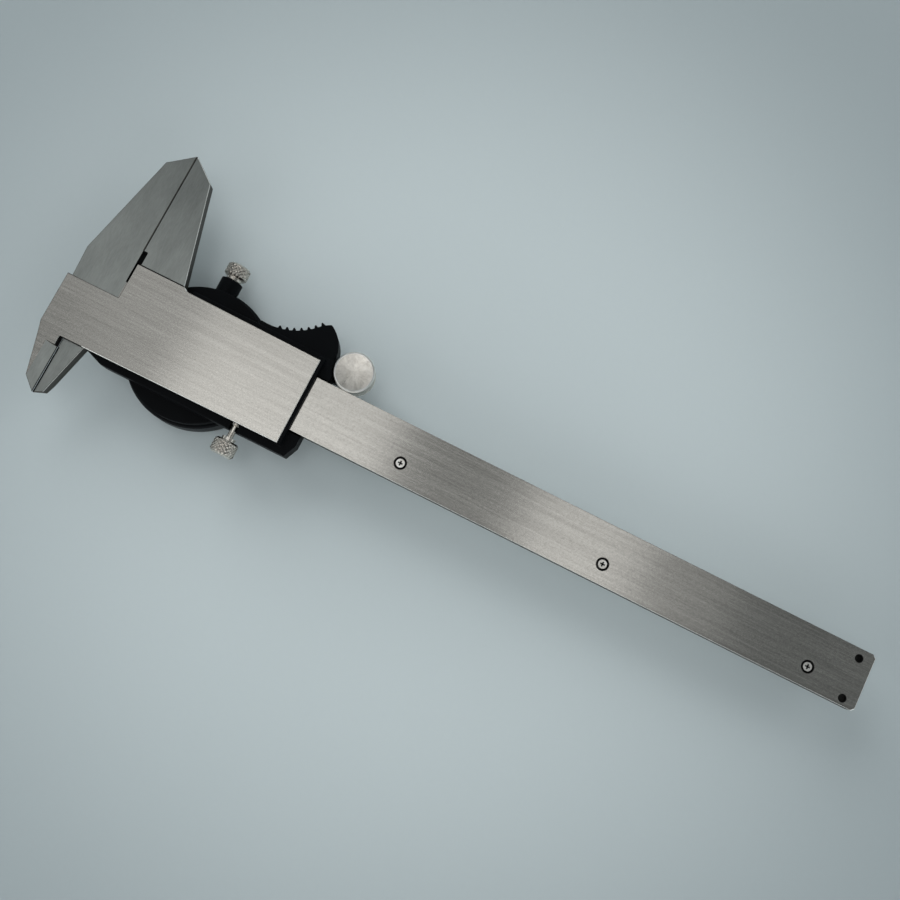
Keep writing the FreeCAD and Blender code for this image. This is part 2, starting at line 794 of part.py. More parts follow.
# Slider frame and what runs beside the beam
def make_slider_frame():
    """Back plate with the sliding inner blade, two rails beside the beam and the sliding outer jaw."""
    body = new_body("slider_frame")
    half = half_width()
    inner_low = -s.inner_reach
    knife_top = -s.inner_root - s.relief_length
    hip = -s.inner_root - s.blade_hip_drop
    plate = new_sketch(body, "plate_outline", plate_front())
    draw_outline(plate, [
        (s.plate_end, -s.plate_low_end),
        (s.plate_end, s.plate_high_end),
        (s.plate_step + s.plate_step_run, s.plate_high - s.plate_step_drop),
        (s.plate_step, s.plate_high),
        (s.plate_slit, s.plate_high),
        (s.plate_slit, s.plate_shelf),
        (-s.plate_left, s.plate_shelf),
        (-s.plate_left, s.blade_hip_drop - s.inner_root),
        (s.blade_hip_inset - s.plate_left, hip),
        (-s.inner_face - s.blade_shoulder_width, inner_low + s.blade_shoulder_rise),
        (-s.inner_face, inner_low),
        (-s.inner_face, knife_top),
        (-s.inner_face - s.inner_relief, knife_top),
        (-s.inner_face - s.inner_relief, -s.inner_root),
    ])
    pad(body, plate, s.plate_thickness, "plate_pad")

    rail_front = base_back()
    rail_height = plate_front() - rail_front
    high_rail = new_sketch(body, "high_rail", rail_front)
    draw_outline(high_rail, [
        (s.plate_slit, half + s.slide_clearance),
        (s.rail_end, half + s.slide_clearance),
        (s.rail_end, s.rail_high),
        (s.plate_step, s.rail_high),
        (s.plate_step, s.plate_high),
        (s.plate_slit, s.plate_high),
    ])
    pad(body, high_rail, rail_height + s.plate_thickness / 2, "high_rail_pad")
    low_rail = new_sketch(body, "low_rail", rail_front)
    draw_box(low_rail, s.rail_start, -s.rail_low, s.rail_end, -gib_outer())
    pad(body, low_rail, rail_height + s.plate_thickness / 2, "low_rail_pad")

    jaw = new_sketch(body, "sliding_jaw", s.beam_front)
    draw_outline(jaw, [
        (s.jaw_relief, half + s.slide_clearance),
        (s.jaw_root_width, half + s.slide_clearance),
        (s.jaw_root_width, s.plate_high),
        (s.jaw_tip_width, s.jaw_shoulder),
        (0, s.jaw_reach),
        (0, s.jaw_relief_top),
        (s.jaw_relief, s.jaw_relief_top),
    ])
    pad(body, jaw, s.beam_thickness, "jaw_pad")
    outer_knife(body, "sliding_outer_knife", 1)

    knife = new_sketch(body, "sliding_inner_knife", s.inner_reach, "XZ_Plane")
    draw_outline(knife, [
        (-s.inner_face - s.knife_width, plate_back()),
        (-s.inner_face, plate_front() + s.knife_edge),
        (s.beam_corner - s.inner_face, plate_front() + s.knife_edge),
        (s.beam_corner - s.inner_face, plate_back() + s.beam_corner),
        (-s.inner_face - s.knife_width, plate_back() + s.beam_corner),
    ])
    pocket(body, knife, s.inner_reach + knife_top, "sliding_inner_knife_cut", upwards=False)

    gib_holes = [(x, side_height(), s.gib_screw_diameter) for x in gib_screw_places()]
    lock_hole = [(s.lock_x, side_height(), s.lock_shank)]
    side_holes(body, "side_screw_holes", gib_holes + lock_hole, gib_outer(), s.rail_low)
    screws = [(x, y, s.case_screw_diameter) for x, y in case_screw_places()]
    cut_through(body, "case_screw_holes", screws, rail_front, s.case_screw_depth)
    place(body)
    return body


def side_height():
    """Height of the side screws, the middle of the beam's thickness."""
    return s.beam_front + s.beam_thickness / 2


def gib_outer():
    """Distance from the beam's middle to the rail's face behind the gib."""
    return half_width() + s.slide_clearance * 3 + s.gib_thickness


def gib_screw_places():
    """Places along the beam of the two gib screws."""
    return [s.gib_screw_first, s.gib_screw_first + s.gib_screw_pitch]


def side_holes(body, name, holes, near, far):
    """Holes across a wall on the inner blades' side, from a near to a far distance."""
    sketch = new_sketch(body, name + "_sketch", near, "XZ_Plane")
    for x, z, diameter in holes:
        draw_circle(sketch, x, z, diameter)
    return pocket(body, sketch, far - near, name)


def make_gib():
    """Thin strip between the beam's lower edge and the rail."""
    body = new_body("gib")
    sketch = new_sketch(body, "gib_outline", s.beam_front + s.gib_height_gap)
    near = half_width() + s.slide_clearance
    draw_box(sketch, s.gib_start, -near - s.gib_thickness, s.rail_end - s.gib_end_gap, -near)
    pad(body, sketch, s.beam_thickness - s.gib_height_gap * 2, "gib_pad")
    place(body)
    return body


def make_gib_screws():
    """Two headless screws in the lower rail, which set the gib."""
    radius = (s.gib_screw_diameter.number - s.thread_clearance.number) / 2
    near = gib_outer().number - s.slide_clearance.number
    length = s.rail_low.number - near
    height = side_height().number
    screws = []
    for x in gib_screw_places():
        foot = FreeCAD.Vector(x.number, -near, height)
        screw = Part.makeCylinder(radius, length, foot, FreeCAD.Vector(0, -1, 0))
        slot = Part.makeBox(2 * radius, 0.5 * radius, 0.5 * radius)
        slot.translate(FreeCAD.Vector(x.number - radius, -near - length, height - 0.25 * radius))
        screws.append(screw.cut(slot))
    return shaped("gib_screws", Part.makeCompound(screws))


def knob(name, start, shank, neck, neck_length, head, head_length, head_start):
    """Knurled-head screw turned about its axis, from its tip to the slotted end of its head."""
    neck_start = head_start - neck_length
    head_end = head_start + head_length
    chamfer = s.knob_chamfer
    body = turned(name, [
        (0, start),
        (shank / 2, start),
        (shank / 2, neck_start),
        (neck / 2, neck_start),
        (neck / 2, head_start),
        (head / 2 - chamfer / 2, head_start),
        (head / 2, head_start + chamfer / 2),
        (head / 2, head_end - chamfer),
        (head / 2 - chamfer, head_end),
        (0, head_end),
    ])
    slot = new_sketch(body, name + "_slot", head_end - s.knob_slot_depth)
    draw_box(slot, -head, -s.knob_slot_width / 2, head, s.knob_slot_width / 2)
    pocket(body, slot, s.knob_slot_depth, name + "_slot_cut")
    return body


def lock_pad_face():
    """Distance from the beam's middle to the free lock pad's face."""
    return half_width() + s.slide_clearance + s.gib_thickness + s.clamp_gap


def make_lock_screw():
    """Screw whose pad presses the gib against the beam."""
    start = lock_pad_face() + s.lock_pad_length + s.seat_clearance
    body = knob("lock_screw", start, s.lock_shank - s.thread_clearance * 2, s.lock_neck,
                s.lock_neck_length, s.lock_head, s.lock_head_length, s.lock_head_start)
    place(body, s.lock_x, 0, side_height(), (1, 0, 0), 90)
    return body


def make_lock_pad():
    """Small round pad between the lock screw and the gib."""
    radius = s.lock_pad_diameter / 2
    face = lock_pad_face()
    edge = s.lock_pad_length / 4
    body = turned("lock_pad", [
        (0, face),
        (radius - edge, face),
        (radius, face + edge),
        (radius, face + s.lock_pad_length),
        (0, face + s.lock_pad_length),
    ])
    place(body, s.lock_x, 0, side_height(), (1, 0, 0), 90)
    return body


def make_end_wiper():
    """Dark strip across the beam's back at the slider plate's end."""
    body = new_body("end_wiper")
    left = s.plate_end + s.seat_clearance
    sketch = new_sketch(body, "wiper_outline", plate_front())
    draw_box(sketch, left, -s.wiper_low, left + s.wiper_length, s.wiper_high)
    pad(body, sketch, s.wiper_thickness, "wiper_pad")
    place(body)
    return body


# Housing with the dial case, thumb grip, roller bracket and clamp boss
def case_screw_places():
    """Places of the four screws that hold the housing to the rails."""
    line = s.case_screw_line
    reach = s.case_radius - s.case_wall - s.case_screw_head / 2 - s.clamp_gap
    offset = square_root(reach * reach - (line - s.dial_y) * (line - s.dial_y))
    left, right = s.dial_x - offset, s.dial_x + offset
    return [(left, line), (right, line), (left, -line), (right, -line)]


def make_housing():
    """Dark moulded housing on the front of the slider."""
    body = new_body("housing")
    base = new_sketch(body, "base_outline", s.base_front)
    draw_outline(base, [
        (s.base_left, s.base_corner_rise - s.base_low),
        (s.base_left + s.base_corner_run, -s.base_low),
        (s.base_end_low, -s.base_low),
        (s.base_end, s.base_end_corner - s.base_low),
        (s.base_end, s.base_high),
        (s.base_left, s.base_high),
    ])
    pad(body, base, base_back() - s.base_front, "base_pad")

    wall_top = plate_front() - s.wall_top_gap
    low_wall = new_sketch(body, "low_wall", base_back())
    draw_outline(low_wall, [
        (s.base_left, s.base_corner_rise - s.base_low),
        (s.base_left + s.base_corner_run, -s.base_low),
        (s.base_end_low, -s.base_low),
        (s.base_end, s.base_end_corner - s.base_low),
        (s.base_end, -half_width() - s.clamp_gap),
        (s.rail_end + s.slide_clearance, -half_width() - s.clamp_gap),
        (s.rail_end + s.slide_clearance, -s.rail_low - s.slide_clearance),
        (s.base_left, -s.rail_low - s.slide_clearance),
    ])
    pad(body, low_wall, wall_top - base_back(), "low_wall_pad")
    high_wall = new_sketch(body, "high_wall", base_back())
    draw_outline(high_wall, [
        (s.plate_step + s.wall_inset, s.rail_high + s.slide_clearance),
        (s.rail_end + s.slide_clearance, s.rail_high + s.slide_clearance),
        (s.rail_end + s.slide_clearance, half_width() + s.clamp_gap),
        (s.base_end, half_width() + s.clamp_gap),
        (s.base_end, s.base_high),
        (s.plate_step + s.wall_inset, s.base_high),
    ])
    pad(body, high_wall, wall_top - base_back(), "high_wall_pad")
    rests = new_sketch(body, "wiper_rests", wall_top - s.wall_top_gap)
    rest_left = s.rail_end + s.slide_clearance
    rest_right = s.plate_end + s.seat_clearance * 2 + s.wiper_length
    draw_box(rests, rest_left, -s.base_low + s.wall_inset, rest_right, -half_width() - s.clamp_gap)
    draw_box(rests, rest_left, half_width() + s.clamp_gap, rest_right, s.base_high - s.wall_top_gap)
    pad(body, rests, s.wall_top_gap * 2, "wiper_rest_pad")

    add_grip(body)
    add_bracket(body)
    add_clamp_boss(body)
    add_case(body)

    nest = new_sketch(body, "roller_nest", roller_front() - s.roller_gap)
    draw_circle(nest, s.roller_x, roller_y(), s.roller_radius * 2 + s.roller_nest * 2)
    pocket(body, nest, plate_back() - roller_front(), "roller_nest_cut")

    low = s.groove_high - s.rack_side_gap - s.rod_width
    anchor = new_sketch(body, "anchor_pocket", base_back() - s.rod_anchor_depth - s.seat_clearance)
    draw_box(anchor, s.rod_start - s.seat_clearance, low - s.seat_clearance,
             s.rod_start + s.rod_anchor_length + s.seat_clearance,
             s.groove_high - s.rack_side_gap + s.seat_clearance)
    pocket(body, anchor, s.rod_anchor_depth + s.rail_front_gap, "anchor_pocket_cut")

    shank_hole = s.lock_shank + s.clamp_gap
    side_holes(body, "lock_hole", [(s.lock_x, side_height(), shank_hole)], s.rail_low, s.base_low)
    place(body)
    return body


def add_grip(body):
    """Concave thumb grip with a row of ribs and a rounded horn."""
    centre_x, centre_y, radius = s.grip_centre_x, s.grip_centre_y, s.grip_radius
    start_y = centre_y - square_root(radius * radius - (s.grip_start - centre_x) * (s.grip_start - centre_x))
    end_y = centre_y - square_root(radius * radius - (s.grip_end - centre_x) * (s.grip_end - centre_x))
    root_line = s.rail_high + s.slide_clearance
    outline = new_sketch(body, "grip_outline", s.grip_front)
    draw_outline(outline, [
        (s.grip_start, root_line),
        (s.grip_start, start_y),
        (s.grip_end, end_y),
        (s.horn_x, s.horn_top),
        (s.horn_right, s.horn_root),
        (s.horn_right, root_line),
    ], {1: (radius, -1), 3: (s.horn_radius, 1)})
    pad(body, outline, s.grip_back - s.grip_front, "grip_pad")

    rib = body.newObject("Sketcher::SketchObject", "grip_rib")
    support = [feature for feature in body.Origin.OriginFeatures if feature.Role == "XY_Plane"][0]
    rib.AttachmentSupport = [(support, "")]
    rib.MapMode = "FlatFace"
    first_angle = s.grip_rib_first.number
    rib.AttachmentOffset = FreeCAD.Placement(
        FreeCAD.Vector(), FreeCAD.Rotation(FreeCAD.Vector(0, 0, 1), first_angle))
    bind(rib, "AttachmentOffset.Base.x", centre_x)
    bind(rib, "AttachmentOffset.Base.y", centre_y)
    bind(rib, "AttachmentOffset.Base.z", s.grip_front)
    bind(rib, "AttachmentOffset.Rotation.Angle", s.grip_rib_first)
    root_radius = radius + s.grip_rib_height / 2
    draw_outline(rib, [
        (-s.grip_rib_width / 2, -root_radius),
        (s.grip_rib_width / 2, -root_radius),
        (s.grip_rib_tip / 2, s.grip_rib_height - radius),
        (-s.grip_rib_tip / 2, s.grip_rib_height - radius),
    ])
    pad(body, rib, s.grip_back - s.grip_front, "grip_rib_pad")
    pattern = body.newObject("PartDesign::PolarPattern", "grip_ribs")
    pattern.Originals = [body.Tip]
    pattern.Axis = (rib, ["N_Axis"])
    bind(pattern, "Angle", s.grip_rib_step * (s.grip_rib_count - 1))
    bind(pattern, "Occurrences", s.grip_rib_count)
    body.Tip = pattern


def add_bracket(body):
    """Arm under the thumb roller, rounded about its axle."""
    reach = s.bracket_radius
    back = roller_front() - s.roller_gap
    front = back - s.bracket_thickness
    left = s.base_end - s.base_end_corner
    arm = new_sketch(body, "bracket_arm", front)
    draw_outline(arm, [
        (left, roller_y() - reach),
        (s.roller_x, roller_y() - reach),
        (s.roller_x, roller_y() + reach),
        (left, s.horn_root),
    ])
    pad(body, arm, s.bracket_thickness, "bracket_pad")
    eye = new_sketch(body, "bracket_eye", front)
    draw_circle(eye, s.roller_x, roller_y(), reach * 2)
    pad(body, eye, s.bracket_thickness, "bracket_eye_pad")
    axle = [(s.roller_x, roller_y(), s.roller_axle + s.shaft_clearance * 2)]
    cut_through(body, "axle_bore", axle, front, s.bracket_thickness)


def add_clamp_boss(body):
    """Round boss that reaches past the bezel's rim, with the clamp screw's hole along it."""
    start = s.dial_y + s.case_radius
    boss = new_sketch(body, "clamp_boss", -start, "XZ_Plane")
    draw_circle(boss, s.clamp_x, s.clamp_height, s.clamp_boss_diameter)
    feature = pad(body, boss, clamp_boss_end() - start, "clamp_boss_pad")
    feature.Reversed = True
    hole = new_sketch(body, "clamp_hole", -clamp_boss_end(), "XZ_Plane")
    draw_circle(hole, s.clamp_x, s.clamp_height, s.clamp_shank)
    pocket(body, hole, s.clamp_hole_length, "clamp_hole_cut", upwards=True)


def add_case(body):
    """Round case for the movement, open towards the dial, with a groove for the bezel's ring."""
    wall = new_sketch(body, "case_wall", s.case_front)
    draw_circle(wall, s.dial_x, s.dial_y, s.case_radius * 2)
    pad(body, wall, base_back() - s.case_front, "case_pad")
    disc = new_sketch(body, "base_disc", s.base_front)
    draw_circle(disc, s.dial_x, s.dial_y, (s.case_radius + s.base_disc_rim) * 2)
    pad(body, disc, base_back() - s.base_front, "base_disc_pad")
    cavity = new_sketch(body, "case_cavity", s.case_front)
    draw_circle(cavity, s.dial_x, s.dial_y, (s.case_radius - s.case_wall) * 2)
    pocket(body, cavity, case_floor() - s.case_front, "case_cavity_cut")
    room = new_sketch(body, "bezel_room", 0)
    draw_circle(room, s.dial_x, s.dial_y, (bezel_radius() + s.clamp_gap) * 2)
    draw_circle(room, s.dial_x, s.dial_y, s.case_radius * 2)
    pocket(body, room, s.base_front, "bezel_room_cut")
    ring = new_sketch(body, "ring_groove", s.ring_front)
    draw_circle(ring, s.dial_x, s.dial_y, s.case_radius * 2 + s.ring_depth)
    draw_circle(ring, s.dial_x, s.dial_y, (s.case_radius - s.ring_depth) * 2)
    pocket(body, ring, s.ring_height, "ring_groove_cut")
    pinion_hole = (s.pinion_teeth + 4) * rack_module()
    cut_through(body, "pinion_hole", [(rack_wheel_x(), rack_wheel_y(), pinion_hole)],
                case_floor(), s.case_floor)
    screws = [(x, y, s.case_screw_diameter) for x, y in case_screw_places()]
    cut_through(body, "housing_screw_holes", screws, case_floor(), s.case_floor)


def make_housing_screws():
    """Four screws from inside the case into the rails."""
    play = s.thread_clearance.number
    seat = case_floor().number - s.movement_plate_thickness.number
    length = base_back().number - seat + s.case_screw_depth.number - s.seat_clearance.number
    screw = pan_head(s.case_screw_diameter.number - play, s.case_screw_head.number,
                     s.case_screw_head_height.number, length, seat)
    return shaped("housing_screws", copies(screw, case_screw_places()))


# Bezel clamp
def clamp_tip():
    """Distance from the beam's middle to the clamp screw's tip, with its shoe a gap off the rim."""
    offset = s.clamp_x - s.dial_x
    rim = s.dial_y + square_root(bezel_radius() * bezel_radius() - offset * offset)
    return rim + s.clamp_gap + s.clamp_shoe_length + s.seat_clearance


def make_bezel_clamp_screw():
    """Knurled screw that holds the turned bezel still."""
    body = knob("bezel_clamp_screw", clamp_tip(), s.clamp_shank - s.thread_clearance * 2, s.clamp_neck,
                s.clamp_neck_length, s.clamp_head, s.clamp_head_length,
                clamp_boss_end() + s.clamp_neck_length + s.seat_clearance + s.clamp_gap)
    place(body, s.clamp_x, 0, s.clamp_height, (1, 0, 0), -90)
    return body


def make_bezel_clamp_shoe():
    """Small soft shoe between the clamp screw and the bezel's rim."""
    radius = s.clamp_shoe_diameter / 2
    start = clamp_tip() - s.seat_clearance
    edge = s.clamp_shoe_length / 4
    body = turned("bezel_clamp_shoe", [
        (0, start - s.clamp_shoe_length),
        (radius - edge, start - s.clamp_shoe_length),
        (radius, start - s.clamp_shoe_length + edge),
        (radius, start),
        (0, start),
    ])
    place(body, s.clamp_x, 0, s.clamp_height, (1, 0, 0), -90)
    return body


# Bezel, crystal and dial, turned about the dial's axis
def at_dial(thing, height=0):
    """Puts a piece on the dial's axis."""
    place(thing, s.dial_x, s.dial_y, height)


def make_bezel():
    """Rim that turns on the case and carries the crystal and the dial."""
    skirt = s.case_radius + s.slide_clearance
    outer, chamfer = bezel_radius(), s.bezel_chamfer
    window = bezel_bore() - s.bezel_lip_width
    groove_front = s.ring_front - s.slide_clearance
    groove_back = s.ring_front + s.ring_height + s.slide_clearance
    groove = skirt + s.ring_depth + s.slide_clearance
    body = turned("bezel", [
        (window, 0),
        (outer - chamfer, 0),
        (outer, chamfer),
        (outer, s.bezel_depth - chamfer / 3),
        (outer - chamfer / 3, s.bezel_depth),
        (skirt, s.bezel_depth),
        (skirt, groove_back),
        (groove, groove_back),
        (groove, groove_front),
        (skirt, groove_front),
        (skirt, s.bezel_step),
        (bezel_bore(), s.bezel_step),
        (bezel_bore(), s.bezel_lip),
        (window, s.bezel_lip),
    ])
    at_dial(body)
    return body


def make_crystal():
    """Clear disc behind the bezel's lip."""
    radius = bezel_bore() - s.seat_clearance
    back = s.bezel_lip + s.crystal_thickness
    body = turned("crystal", [(0, s.bezel_lip), (radius, s.bezel_lip), (radius, back), (0, back)])
    at_dial(body)
    return body


def dial_front():
    """Height of the dial's printed face."""
    return s.bezel_lip + s.crystal_thickness + s.spacer_depth


def make_dial_spacer():
    """Ring that keeps the dial off the crystal."""
    outer = bezel_bore() - s.seat_clearance
    inner = outer - s.spacer_width
    front = s.bezel_lip + s.crystal_thickness
    body = turned("dial_spacer", [(inner, front), (outer, front), (outer, dial_front()), (inner, dial_front())])
    at_dial(body)
    return body


def make_dial_face():
    """Thin round dial with a hole for the pointer's hub."""
    outer = bezel_bore() - s.seat_clearance
    back = dial_front() + s.dial_thickness
    body = turned("dial_face", [
        (s.dial_hole / 2, dial_front()), (outer, dial_front()), (outer, back), (s.dial_hole / 2, back)])
    at_dial(body)
    return body


def make_bezel_ring():
    """Open spring ring in the case's groove, which holds the bezel on."""
    inner = s.case_radius - s.ring_depth + s.seat_clearance
    outer = s.case_radius + s.slide_clearance + s.ring_depth
    back = s.ring_front + s.ring_height
    body = turned("bezel_ring", [
        (inner, s.ring_front + s.seat_clearance), (outer, s.ring_front + s.seat_clearance),
        (outer, back - s.seat_clearance), (inner, back - s.seat_clearance)],
        angle=Size(360, "360") - s.ring_gap_angle)
    at_dial(body)
    return body


def make_pointer():
    """Needle with a tail and a round hub, at zero towards the inner jaws."""
    body = new_body("pointer")
    length = bezel_bore() - s.pointer_end_gap
    blade = new_sketch(body, "pointer_outline", 0)
    draw_outline(blade, [
        (s.pointer_width / 2, 0),
        (s.pointer_width / 2, s.pointer_tail),
        (-s.pointer_width / 2, s.pointer_tail),
        (-s.pointer_width / 2, 0),
        (-s.pointer_tip / 2, -length),
        (s.pointer_tip / 2, -length),
    ])
    pad(body, blade, s.pointer_thickness, "pointer_pad")
    hub = new_sketch(body, "pointer_hub", 0)
    draw_circle(hub, 0, 0, s.pointer_hub)
    pad(body, hub, s.pointer_hub_height, "pointer_hub_pad")
    bore = [(0, 0, s.arbor_diameter + s.seat_clearance)]
    cut_through(body, "pointer_bore", bore, 0, s.pointer_hub_height)
    at_dial(body, s.pointer_height)
    return body


# Movement inside the case
def wheel_places():
    """Axes of the rack wheel, the centre pinion and the backlash wheel."""
    return [(rack_wheel_x(), rack_wheel_y()), (s.dial_x, s.dial_y), (s.dial_x + gear_centres(), s.dial_y)]


def pillar_places():
    """Axes of the bridge's two pillars."""
    return [(s.dial_x - pillar_offset(), s.dial_y), (s.dial_x + pillar_offset(), s.dial_y)]


def make_movement_plate():
    """Round plate on the case's floor with the arbors' lower holes."""
    body = new_body("movement_plate")
    front = case_floor() - s.movement_plate_thickness
    disc = new_sketch(body, "plate_disc", front)
    draw_circle(disc, s.dial_x, s.dial_y, movement_plate_radius() * 2)
    pad(body, disc, s.movement_plate_thickness, "plate_disc_pad")
    bore = s.arbor_diameter + s.shaft_clearance * 2
    holes = [(x, y, bore) for x, y in wheel_places()]
    holes += [(x, y, s.case_screw_diameter) for x, y in case_screw_places()]
    cut_through(body, "plate_disc_holes", holes, front, s.movement_plate_thickness)
    place(body)
    return body


def make_bridge():
    """Bar on two pillars with the arbors' upper holes."""
    body = new_body("bridge")
    bar = new_sketch(body, "bridge_bar", s.bridge_front)
    left = s.dial_x - pillar_offset()
    right = s.dial_x + pillar_offset()
    half = s.bridge_width / 2
    end = s.pillar_diameter / 2
    draw_outline(bar, [
        (left, s.dial_y - end),
        (left + half * 2, s.dial_y - half),
        (right - half * 2, s.dial_y - half),
        (right, s.dial_y - end),
        (right, s.dial_y + end),
        (right - half * 2, s.dial_y + half),
        (left + half * 2, s.dial_y + half),
        (left, s.dial_y + end),
    ])
    pad(body, bar, s.bridge_thickness, "bridge_pad")
    pillars = new_sketch(body, "bridge_pillars", s.bridge_front)
    for x, y in pillar_places():
        draw_circle(pillars, x, y, s.pillar_diameter)
    plate_top = case_floor() - s.movement_plate_thickness
    pad(body, pillars, plate_top - s.bridge_front, "bridge_pillar_pad")
    bore = s.arbor_diameter + s.shaft_clearance * 2
    cut_through(body, "bridge_bores", [(x, y, bore) for x, y in wheel_places()],
                s.bridge_front, s.bridge_thickness)
    screws = [(x, y, s.bridge_screw_diameter) for x, y in pillar_places()]
    cut_through(body, "bridge_screw_holes", screws, s.bridge_front, s.bridge_screw_depth)
    place(body)
    return body


def make_bridge_screws():
    """Two small screws in the bridge's pillars."""
    play = s.thread_clearance.number
    screw = pan_head(s.bridge_screw_diameter.number - play, s.bridge_screw_head.number,
                     s.bridge_screw_head_height.number,
                     s.bridge_screw_depth.number - s.seat_clearance.number, s.bridge_front.number)
    return shaped("bridge_screws", copies(screw, pillar_places()))


def gear_outline(teeth, module, turn):
    """Points of an involute gear with one tooth along the given direction."""
    pitch_radius = teeth * module / 2
    base_radius = pitch_radius * math.cos(PRESSURE_ANGLE)
    tip_radius = pitch_radius + module
    root_radius = pitch_radius - 1.25 * module
    start_radius = max(base_radius, root_radius)
    play_angle = s.tooth_play.number * module / rack_module().number / pitch_radius
    half_tooth = math.pi / (2 * teeth) - play_angle / 2

    def involute(angle):
        return math.tan(angle) - angle

    half_angles = []
    for step in range(FLANK_STEPS + 1):
        radius = start_radius + (tip_radius - start_radius) * step / FLANK_STEPS
        pressure = math.acos(min(base_radius / radius, 1))
        half_angles.append((radius, half_tooth + involute(PRESSURE_ANGLE) - involute(pressure)))
    points = []
    for index in range(teeth):
        middle = turn + 2 * math.pi * index / teeth
        flank = [(root_radius, half_angles[0][1])] + half_angles
        if root_radius >= base_radius:
            flank = half_angles
        points += [(radius, middle - angle) for radius, angle in flank]
        points += [(radius, middle + angle) for radius, angle in reversed(flank)]
    return [(radius * math.cos(angle), radius * math.sin(angle)) for radius, angle in points]


def gear_solid(teeth, module, front, thickness, turn=0.0):
    """Spur gear about the Z axis."""
    return solid_from_outline(gear_outline(teeth, module, turn), front, thickness)


def arbor_solid(front, back):
    """Plain round arbor about the Z axis."""
    return Part.makeCylinder(s.arbor_diameter.number / 2, back - front, FreeCAD.Vector(0, 0, front))


def wheel_turns():
    """Turns of the rack wheel, centre pinion and backlash wheel that set them in mesh at rest."""
    large, small = s.gear_teeth.number, s.pinion_teeth.number
    (wheel_x, wheel_y), (centre_x, centre_y), _ = wheel_places()
    to_centre = math.atan2(centre_y.number - wheel_y.number, centre_x.number - wheel_x.number)
    rack_turn = -math.pi / 2 + math.pi / small
    wheel_turn = to_centre
    centre_turn = to_centre + math.pi + math.pi / small
    backlash_turn = math.pi + math.pi / large - centre_turn * small / large
    return rack_turn, wheel_turn, centre_turn, backlash_turn


def make_rack_wheel():
    """Pinion in the rack, its arbor through the case's floor and the first large wheel."""
    rack_turn, wheel_turn, _, _ = wheel_turns()
    small, large = int(s.pinion_teeth.number), int(s.gear_teeth.number)
    pinion_front = s.beam_front.number + s.groove_depth.number - s.rack_pinion_gap.number \
        - s.rack_pinion_thickness.number
    pinion = gear_solid(small, rack_module().number, pinion_front, s.rack_pinion_thickness.number, rack_turn)
    wheel = gear_solid(large, wheel_module().number, s.rack_wheel_front.number,
                       s.gear_thickness.number, wheel_turn)
    arbor = arbor_solid(s.bridge_front.number, pinion_front + s.rack_pinion_thickness.number)
    feature = shaped("rack_wheel", pinion.fuse([wheel, arbor]))
    place(feature, rack_wheel_x(), rack_wheel_y())
    return feature


def make_centre_pinion():
    """Long pinion at the dial's centre, whose arbor carries the pointer."""
    _, _, centre_turn, _ = wheel_turns()
    pinion = gear_solid(int(s.pinion_teeth.number), wheel_module().number, s.centre_pinion_front.number,
                        s.centre_pinion_length.number, centre_turn)
    arbor = arbor_solid(s.pointer_height.number, case_floor().number)
    feature = shaped("centre_pinion", pinion.fuse(arbor))
    at_dial(feature)
    return feature


def make_backlash_wheel():
    """Second large wheel, turned back by the hairspring so that the teeth stay in touch."""
    _, _, _, backlash_turn = wheel_turns()
    wheel = gear_solid(int(s.gear_teeth.number), wheel_module().number, s.backlash_wheel_front.number,
                       s.gear_thickness.number, backlash_turn)
    arbor = arbor_solid(s.bridge_front.number, case_floor().number)
    feature = shaped("backlash_wheel", wheel.fuse(arbor))
    place(feature, s.dial_x + gear_centres(), s.dial_y)
    return feature


def make_hairspring():
    """Flat spiral between the bridge and the backlash wheel."""
    steps = 16
    half = s.hairspring_strip.number / 2
    inner, pitch = s.hairspring_inner.number, s.hairspring_pitch.number
    turns = s.hairspring_turns.number

    def side(offset):
        count = int(turns * steps)
        for index in range(count + 1):
            angle = 2 * math.pi * index / steps
            radius = inner + pitch * index / steps + offset
            yield radius * math.cos(angle), radius * math.sin(angle)

    points = list(side(half)) + list(side(-half))[::-1]
    strip = solid_from_outline(points, s.hairspring_front.number, s.hairspring_height.number)
    feature = shaped("hairspring", strip)
    place(feature, s.dial_x + gear_centres(), s.dial_y)
    return feature


# Thumb roller
def make_thumb_roller():
    """Steel roller with its axle, which rolls on the beam's edge."""
    radius, chamfer = s.roller_radius, s.roller_chamfer
    front, back = roller_front(), s.roller_back
    axle_end = front - s.roller_gap - s.bracket_thickness - s.seat_clearance
    hole = s.roller_screw_diameter / 2
    body = turned("thumb_roller", [
        (hole, axle_end),
        (s.roller_axle / 2, axle_end),
        (s.roller_axle / 2, front),
        (radius - chamfer, front),
        (radius, front + chamfer),
        (radius, back - chamfer),
        (radius - chamfer, back),
        (0, back),
        (0, axle_end + s.roller_screw_depth),
        (hole, axle_end + s.roller_screw_depth),
    ])
    place(body, s.roller_x, roller_y())
    return body


def roller_washer_back():
    """Height of the washer's face under the bracket."""
    return roller_front() - s.roller_gap - s.bracket_thickness - s.seat_clearance * 2


def make_roller_washer():
    """Washer under the bracket."""
    inner = s.roller_screw_diameter / 2 + s.shaft_clearance
    back = roller_washer_back()
    front = back - s.washer_thickness
    outer = s.washer_diameter / 2
    body = turned("roller_washer", [(inner, front), (outer, front), (outer, back), (inner, back)])
    place(body, s.roller_x, roller_y())
    return body


def make_roller_screw():
    """Screw up into the roller's axle."""
    play = s.thread_clearance.number
    seat = roller_washer_back().number - s.washer_thickness.number
    length = s.roller_screw_depth.number + s.washer_thickness.number - s.seat_clearance.number
    screw = pan_head(s.roller_screw_diameter.number - play, s.roller_screw_head.number,
                     s.roller_screw_head_height.number, length, seat)
    feature = shaped("roller_screw", screw)
    place(feature, s.roller_x, roller_y())
    return feature


